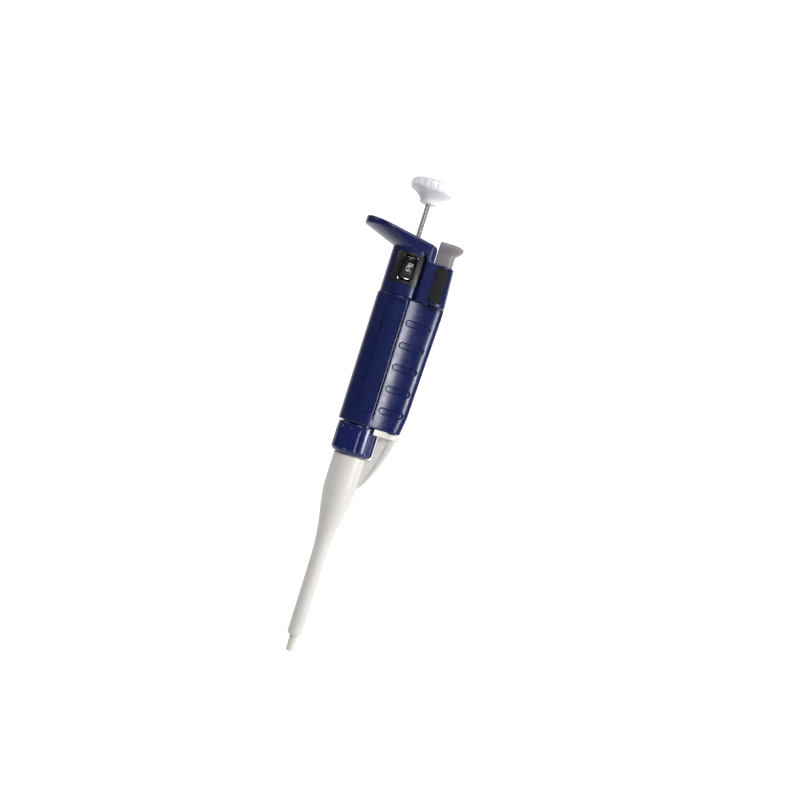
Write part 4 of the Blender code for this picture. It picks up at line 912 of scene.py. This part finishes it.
step = [(STEP_X, -12), (PLATFORM_X + 2, -12), (PLATFORM_X + 2, 12), (STEP_X, 12)]
combine(arm, prism("platform_step", step, PLATFORM_TOP - STEP_DOWN, PLATFORM_TOP + 2))
melt(arm, 5)
bore = [(0, SLEEVE_LOW - 1), (SLEEVE_R - SLEEVE_WALL, SLEEVE_LOW - 1)]
bore += [(sleeve_radius(z) - SLEEVE_WALL, z) for z in flare_heights]
bore += [(SLEEVE_TOP_R - SLEEVE_WALL, SLEEVE_HIGH + 0.01), (ARM_GAP_R, SLEEVE_HIGH)]
bore += [(ARM_GAP_R, PLATFORM_TOP + 1), (0, PLATFORM_TOP + 1)]
combine(arm, turned("arm_bore", bore, 128))
combine(arm, cylinder("rod_socket", SOCKET_R, PLATFORM_TOP - SOCKET_DEPTH, PLATFORM_TOP + 1, 48, EJECTOR_X))
arm.data.set_sharp_from_angle(angle=radians(50))
seat(arm, "ejector", "white_plastic", arm_white, "ejector_arm")

# %% [markdown]
# ## The tip cone
# The off-white shaft runs inside the sleeve and ends in a fine taper that takes a disposable tip. The profile
# lists the outside from the open end up to the flange, and then the bore back down.

# %% Tip cone
SHAFT_GAP = 0.45
AIR_BORE_R, PISTON_BORE_R, SPRING_BORE_R = 0.8, 2.5, 5.5
FLANGE_LOW, FLANGE_HIGH = 102.5, 105.0
cone = [(AIR_BORE_R, 0.25), (0.95, 0.05), (1.25, 0.0), (1.5, 0.08), (1.66, 0.3), (1.78, 0.9), (1.79, 1.6)]
cone += [(2.08, 8.2), (2.25, 8.9), (SLEEVE_R - SLEEVE_WALL - SHAFT_GAP, 9.6)]
cone += [(sleeve_radius(z) - SLEEVE_WALL - SHAFT_GAP, z) for z in flare_heights]
cone += [(6.7, FLANGE_LOW), (8.4, FLANGE_LOW), (8.4, FLANGE_HIGH), (SPRING_BORE_R, FLANGE_HIGH)]
cone += [(SPRING_BORE_R, 82), (PISTON_BORE_R, 82), (PISTON_BORE_R, 60), (AIR_BORE_R, 58.5)]
seat(turned("tip_cone_shaft", cone, 72), "handle", "cone_plastic", cone_cream, "tip_cone_shaft")

# %% [markdown]
# ## The upper housing
# Head, finger hook, core and the block that carries the pads are one moulding. The hook's rim is level, and
# its underside leans in to the round core, so its rings grow from the core's arc to the hook's. The forms
# are joined and cut, then melted so that the edges round over by about half a millimetre.

# %% Sizes of the housing
CORE_R = 10.2
HOUSING_LOW = GRIP_HIGH + 0.3
SHELF_Z = 200.3
HEAD_LOW = 203.9
STRIP_X = 7.75
STRIP_STEP = 0.6
STRIP_CORNER = 4.0
HEAD_X = 11.2
HEAD_ROUND = 2.6
HEAD_CORNER = 5.0
HEAD_HALF = 9.5
HOOK_X = -26.7
HOOK_R = 13.0
HOOK_RIM_Z = 210.0
HOOK_SLOPE = 0.16
HOOK_TOP = 209.9
FACET_DEG = 5
BLOCK_SHAPE = 2.6
BLOCK_LEAN = 1.2
BLOCK_FROM_Y = -6.1
RIM_ROUND = 1.0
BOSS_R = 2.9
BOSS_HEIGHT = 0.8
POCKET_LEFT, POCKET_RIGHT, POCKET_HALF = 11.1, 20.9, 5.3
POCKET_LOW = 191.2
ABOVE_ALL = 216.0


def hook_top(x):
    """Height of the sloping top over a place on the X axis."""
    return HOOK_TOP - HOOK_SLOPE * x


def head_plan(inset, share=1.0):
    """The head seen from above. At share 1 the round hook stands out in full, at 0 only the core is left."""
    core = arc(0, 0, CORE_R - 0.3, 180 + FACET_DEG, 280, 60)
    hook = arc(HOOK_X + HOOK_R, 0, HOOK_R - inset, 180 + FACET_DEG, 280, 60)
    near = [(a + (c - a) * share, b + (d - b) * share) for (a, b), (c, d) in zip(core, hook)]
    corner = arc(HEAD_X - HEAD_CORNER, -HEAD_HALF + HEAD_CORNER, HEAD_CORNER - inset, -80, 0, 16)
    (a, b), (c, d) = near[-1], corner[0]
    side = [(a + (c - a) * i / 12, b + (d - b) * i / 12) for i in range(1, 12)]
    return mirrored(near + side + corner)


def head_profile():
    """The head seen from the near side: level below, with the round corner to the strip."""
    end = HOOK_X - 1
    points = [(end, HEAD_LOW)]
    points += arc(STRIP_X - STRIP_CORNER, HEAD_LOW - STRIP_CORNER, STRIP_CORNER, 90, 0, 16)
    points.append((HEAD_X, HEAD_LOW - STRIP_CORNER))
    points += arc(HEAD_X - HEAD_ROUND, hook_top(HEAD_X - HEAD_ROUND) - HEAD_ROUND, HEAD_ROUND, 0, 80, 12)
    points.append((HEAD_X - HEAD_CORNER, hook_top(HEAD_X - HEAD_CORNER) + 1))
    return points + [(end, hook_top(end) + 1)]


# %% The block beside the core
def block_front(z):
    """The housing's front goes on up from the rail's, and leans in a little."""
    return RAIL_FRONT_TOP - BLOCK_LEAN * (z - HOUSING_LOW) / (SHELF_Z - HOUSING_LOW)


def block_side(x, z):
    """The near side of the block at a place: a squarish curve."""
    start, front = STRIP_X + 2.0, block_front(z)
    share = min(max((x - start) / (front - start), 0.0), 1.0)
    return -HEAD_HALF * (1 - share ** BLOCK_SHAPE) ** (1 / BLOCK_SHAPE)


def block(name, inset, low, high):
    """The block's form between two heights."""
    rings = []
    for z in (low, high):
        half, front = HEAD_HALF - inset, block_front(z) - inset
        near = [(0, BLOCK_FROM_Y), (STRIP_X + inset, BLOCK_FROM_Y)]
        near += arc(STRIP_X + inset + STRIP_STEP, -half + STRIP_STEP, STRIP_STEP, 180, 270, 5)
        for i in range(49):
            a = radians(-90 + 90 * i / 48)
            x = STRIP_X + 2 + (front - STRIP_X - 2) * cos(a) ** (2 / BLOCK_SHAPE)
            near.append((x, -half * abs(sin(a)) ** (2 / BLOCK_SHAPE) if i < 48 else 0.0))
        rings.append([(x, y, z) for x, y in mirrored(near, last=1)])
    return skin(name, rings)


print(f"the block's front leans from {block_front(HOUSING_LOW):.1f} to {block_front(SHELF_Z):.1f} mm")

# %% Upper housing
rings = [[(x, y, z) for x, y in head_plan(0, 0)] for z in (HEAD_LOW - 2 * STRIP_CORNER, HEAD_LOW - 0.3)]
rings.append([(x, y, min(HOOK_RIM_Z, hook_top(x) - RIM_ROUND - 0.3)) for x, y in head_plan(0)])
for degrees in range(0, 91, 15):
    inset = RIM_ROUND * (1 - cos(radians(degrees)))
    drop = RIM_ROUND * (1 - sin(radians(degrees)))
    rings.append([(x, y, hook_top(x) - drop) for x, y in head_plan(inset)])
housing = skin("upper_housing", rings)
combine(housing, prism("profile_form", head_profile(), -HOOK_R - 1, HOOK_R + 1, "Y"), "INTERSECT")
combine(housing, cylinder("core_form", CORE_R, HOUSING_LOW, HEAD_LOW + 1, 160), "UNION")
combine(housing, block("block_form", 0, HOUSING_LOW, SHELF_Z), "UNION")
combine(housing, cylinder("boss_form", BOSS_R, HEAD_LOW, HOOK_TOP + BOSS_HEIGHT, 64), "UNION")
plan = eased([
    (POCKET_LEFT, -POCKET_HALF, 0.6), (POCKET_RIGHT, -POCKET_HALF, 3.4), (POCKET_RIGHT, POCKET_HALF, 3.4),
    (POCKET_LEFT, POCKET_HALF, 0.6)], 10)
combine(housing, prism("button_pocket", plan, POCKET_LOW, ABOVE_ALL))
melt(housing, 6)
print("housing skin:", len(housing.data.polygons))

# %% Cut the housing's openings
PAD_LEFT, PAD_RIGHT, PAD_LOW, PAD_HIGH, PAD_ROUND = 13.5, 20.0, 181.8, 199.3, 1.5
WINDOW_HALF, WINDOW_LOW, WINDOW_HIGH = 3.6, 187.5, 200.3
WINDOW_ROUND = 0.6
BORDER, BORDER_Z, BORDER_ROUND = 3.4, 1.3, 1.5
BEZEL_R, BEZEL_THICK = CORE_R + 0.2, 0.6
TRAY_GAP, TRAY_DEPTH = 0.25, 0.7
HOLE_MARGIN = 0.9
PAD_POCKET_DEPTH = 0.9
ROOM_R, ROOM_LOW, ROOM_HIGH = 8.7, 185.5, 203.0
BUSH_HOLE_R, BUSH_HOLE_LOW = 2.05, 202.0


def rounded_box(left, right, low, high, radius):
    """A rectangle with round corners."""
    return eased([(left, low, radius), (right, low, radius), (right, high, radius), (left, high, radius)], 8)


def window_box(margin, margin_z, radius):
    """The window's opening, made larger all round."""
    side = WINDOW_HALF + margin
    return rounded_box(-side, side, WINDOW_LOW - margin_z, WINDOW_HIGH + margin_z, radius)


pads = prism("pad_pocket", rounded_box(PAD_LEFT, PAD_RIGHT, PAD_LOW, PAD_HIGH, PAD_ROUND), -12, 12, "Y")
combine(pads, block("pad_floor", PAD_POCKET_DEPTH, HOUSING_LOW - 1, SHELF_Z + 1))
combine(housing, pads)
outline = window_box(BORDER + TRAY_GAP, BORDER_Z + TRAY_GAP, BORDER_ROUND + TRAY_GAP)
tray = prism("bezel_tray", outline, -CORE_R - 1, 0, "Y")
combine(tray, cylinder("tray_floor", CORE_R - TRAY_DEPTH, 180, 206, 160))
combine(housing, tray)
outline = window_box(HOLE_MARGIN, HOLE_MARGIN, WINDOW_ROUND)
combine(housing, prism("window_hole", outline, -CORE_R - 1, 0, "Y"))
combine(housing, cylinder("counter_room", ROOM_R, ROOM_LOW, ROOM_HIGH, 128))
combine(housing, cylinder("bush_hole", BUSH_HOLE_R, BUSH_HOLE_LOW, ABOVE_ALL, 48))
housing.data.set_sharp_from_angle(angle=radians(50))
seat(housing, "handle", "body_plastic", body_blue, "upper_housing")

# %% [markdown]
# ## The grip pads
# Two rubber pads sit in shallow pockets, one on each side of the block. Each is a grid on the block's own
# curve, a hair proud of it, and the far one is the near one's mirror image.

# %% Grip pads
PAD_PROUD = 0.12
PAD_GAP = 0.2
PAD_THICK = 0.8


def on_block(x, z):
    """The pad's face: a hair proud of the block's side."""
    return block_side(x, z) - PAD_PROUD


for name, side in (("grip_pad_near", 1), ("grip_pad_far", -1)):
    rows = rounded_rows(
        PAD_LEFT + PAD_GAP, PAD_RIGHT - PAD_GAP, PAD_LOW + PAD_GAP, PAD_HIGH - PAD_GAP, PAD_ROUND, 26, 0.8, on_block)
    pad = patch(name, rows, PAD_THICK, 0.22)
    if side < 0:
        pad.data.transform(Matrix.Scale(-1, 4, (0, 1, 0)))
        pad.data.flip_normals()
    seat(pad, "handle", "pad_rubber", pad_black, name)


# %% [markdown]
# ## The volume window
# A thin black frame curves round the core. A clear acrylic lens sits behind it, and three number drums
# show through, one digit of each.

# %% Window frame and lens
def curved_plate(name, outline, thickness, outer_r):
    """A plate cut from a ring about the axis, on the near side."""
    heights = [z for _, z in outline]
    low, high = min(heights) - 1, max(heights) + 1
    ring = [(outer_r - thickness, low), (outer_r, low), (outer_r, high), (outer_r - thickness, high)]
    plate = turned(name, ring, 200)
    combine(plate, prism(name + "_form", outline, -outer_r - 1, 0, "Y"), "INTERSECT")
    return plate


LENS_R, LENS_THICK, LENS_MARGIN = 9.5, 0.5, 0.6
bezel = curved_plate("window_bezel", window_box(BORDER, BORDER_Z, BORDER_ROUND), BEZEL_THICK, BEZEL_R)
combine(bezel, prism("bezel_opening", window_box(0, 0, WINDOW_ROUND), -CORE_R - 2, -6, "Y"))
round_edges(bezel, 0.12)
bezel.data.set_sharp_from_angle(angle=radians(50))
seat(bezel, "handle", "black_plastic", frame_black, "window_bezel")
lens = curved_plate("window_lens", window_box(LENS_MARGIN, LENS_MARGIN, 0.5), LENS_THICK, LENS_R)
seat(lens, "handle", "clear_lens", lens_clear, "window_lens")

# %% [markdown]
# The drums are black plastic, and their white digits are printed. Each digit is a text object turned to a
# mesh and wrapped round the drum, 36 degrees from the next.

# %% Number drums
DRUM_R = 8.35
DRUM_BORE_R = 4.75
DIGIT_HEIGHT = 2.6
digit_white, tree, shader, place = new_material("white_printed_digit_ink")
ink = node(tree, "ShaderNodeTexNoise", {"Vector": place, "Scale": 1 / (0.4 * MM), "Detail": 3.0})
rough = node(tree, "ShaderNodeMapRange", {"Value": ink, "To Min": 0.4, "To Max": 0.6})
feed(tree, shader, {"Base Color": linear("#E8E6E0"), "Roughness": rough})


def digit_mesh(digit):
    """One digit as a flat mesh in millimetres, centred."""
    curve = bpy.data.curves.new("digit", "FONT")
    curve.body = str(digit)
    curve.size = DIGIT_HEIGHT * 1.4
    curve.align_x = "CENTER"
    curve.align_y = "CENTER"
    curve.extrude = 0.02
    holder = to_scene("digit", curve)
    view = bpy.context.evaluated_depsgraph_get()
    mesh = bpy.data.meshes.new_from_object(holder.evaluated_get(view))
    bpy.data.objects.remove(holder, do_unlink=True)
    return mesh


def digit_ring(name, middle_z, reading):
    """Ten digits wrapped round a drum, with the reading facing the window."""
    shape = bmesh.new()
    for k in range(10):
        mesh = digit_mesh((reading - k) % 10)
        start = len(shape.verts)
        shape.from_mesh(mesh)
        shape.verts.ensure_lookup_table()
        for vert in shape.verts[start:]:
            angle = radians(-90 + 36 * k) + vert.co.x / DRUM_R
            r = DRUM_R + 0.01 + vert.co.z
            vert.co = (r * cos(angle), r * sin(angle), middle_z + vert.co.y)
    return closed(name, shape)


for name, body, reading in (("drum_units", "volume", 0), ("drum_tens", "tens", 0), ("drum_hundreds", "hundreds", 2)):
    drum_low, drum_high = span(name)
    outline = eased([
        (DRUM_BORE_R, drum_low.z, 0.1), (DRUM_R, drum_low.z, 0.12), (DRUM_R, drum_high.z, 0.12),
        (DRUM_BORE_R, drum_high.z, 0.1)], 4)
    seat(turned(name, outline, 160), body, "drum_plastic", drum_black, name)
    seat(digit_ring(name + "_digits", (drum_low.z + drum_high.z) / 2, reading), body, "drum_plastic", digit_white)

# %% [markdown]
# ## The ejector button
# A grey button beside the head. Its foot is straight, it flares into a lip for the thumb, and its crown
# is gently domed.

# %% Ejector button
ejector_low, ejector_high = span("ejector_button")
LIP_Z = 210.4
FLARE_Z = 206.8
LIP_X, LIP_HALF = 23.4, 6.6
FOOT_X, FOOT_HALF = 20.3, 5.0
LEFT_X = ejector_low.x
CROWN_INSET = 4.0


def button_plan(left, front, half, front_round, back_round):
    """The button's plan outline, flat at the back and round at the front."""
    near = arc(left + back_round, -half + back_round, back_round, 180, 270, 6)
    near += arc(front - front_round, -half + front_round, front_round, -90, 0, 14)
    return mirrored(near)


rings = []
foot_heights = [ejector_low.z, ejector_low.z + 0.25] + [200 + i for i in range(6)]
for z in foot_heights + [206 + 0.25 * i for i in range(18)]:
    share = ease((z - FLARE_Z + 1.2) / (LIP_Z - FLARE_Z + 1.0)) ** 1.25
    inset = 0.25 if z == ejector_low.z else 0.0
    front = FOOT_X + (LIP_X - FOOT_X) * share - inset
    half = FOOT_HALF + (LIP_HALF - FOOT_HALF) * share - inset
    rings.append([(x, y, z) for x, y in button_plan(LEFT_X + inset, front, half, 3.4 + share, 0.6)])
for degrees in range(10, 91, 10):
    rise = sin(radians(degrees))
    inset = CROWN_INSET * (1 - cos(radians(degrees)))
    plan = button_plan(LEFT_X + inset * 0.3, LIP_X - inset, LIP_HALF - inset, 4.4 - inset * 0.6, 0.8)
    rings.append([(x, y, LIP_Z + (ejector_high.z - LIP_Z) * rise) for x, y in plan])
seat(skin("ejector_button", rings), "ejector", "grey_plastic", button_grey, "ejector_button")

# %% [markdown]
# ## Finishes for the pieces that stay as they are
# The pieces inside the handle keep their CAD shapes. Each still gets the finish of its real material.

# %% Finish the inner pieces
finishes = (
    (rod_steel, "stop_ring", "stop_washer", "piston", "piston_cap", "ejector_rod", "rod_clip", "counter_axle"),
    (screw_brass, "volume_screw", "volume_nut"),
    (spring_steel, "piston_spring", "blow_out_spring", "ejector_spring"),
    (seal_black, "seal_ring"), (inner_white, "seal_retainer", "pinion_low", "pinion_high"))
for material, *names in finishes:
    for name in names:
        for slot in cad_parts[name].material_slots:
            slot.material = material
print("finished", sum(len(names) for _, *names in finishes), "inner pieces")
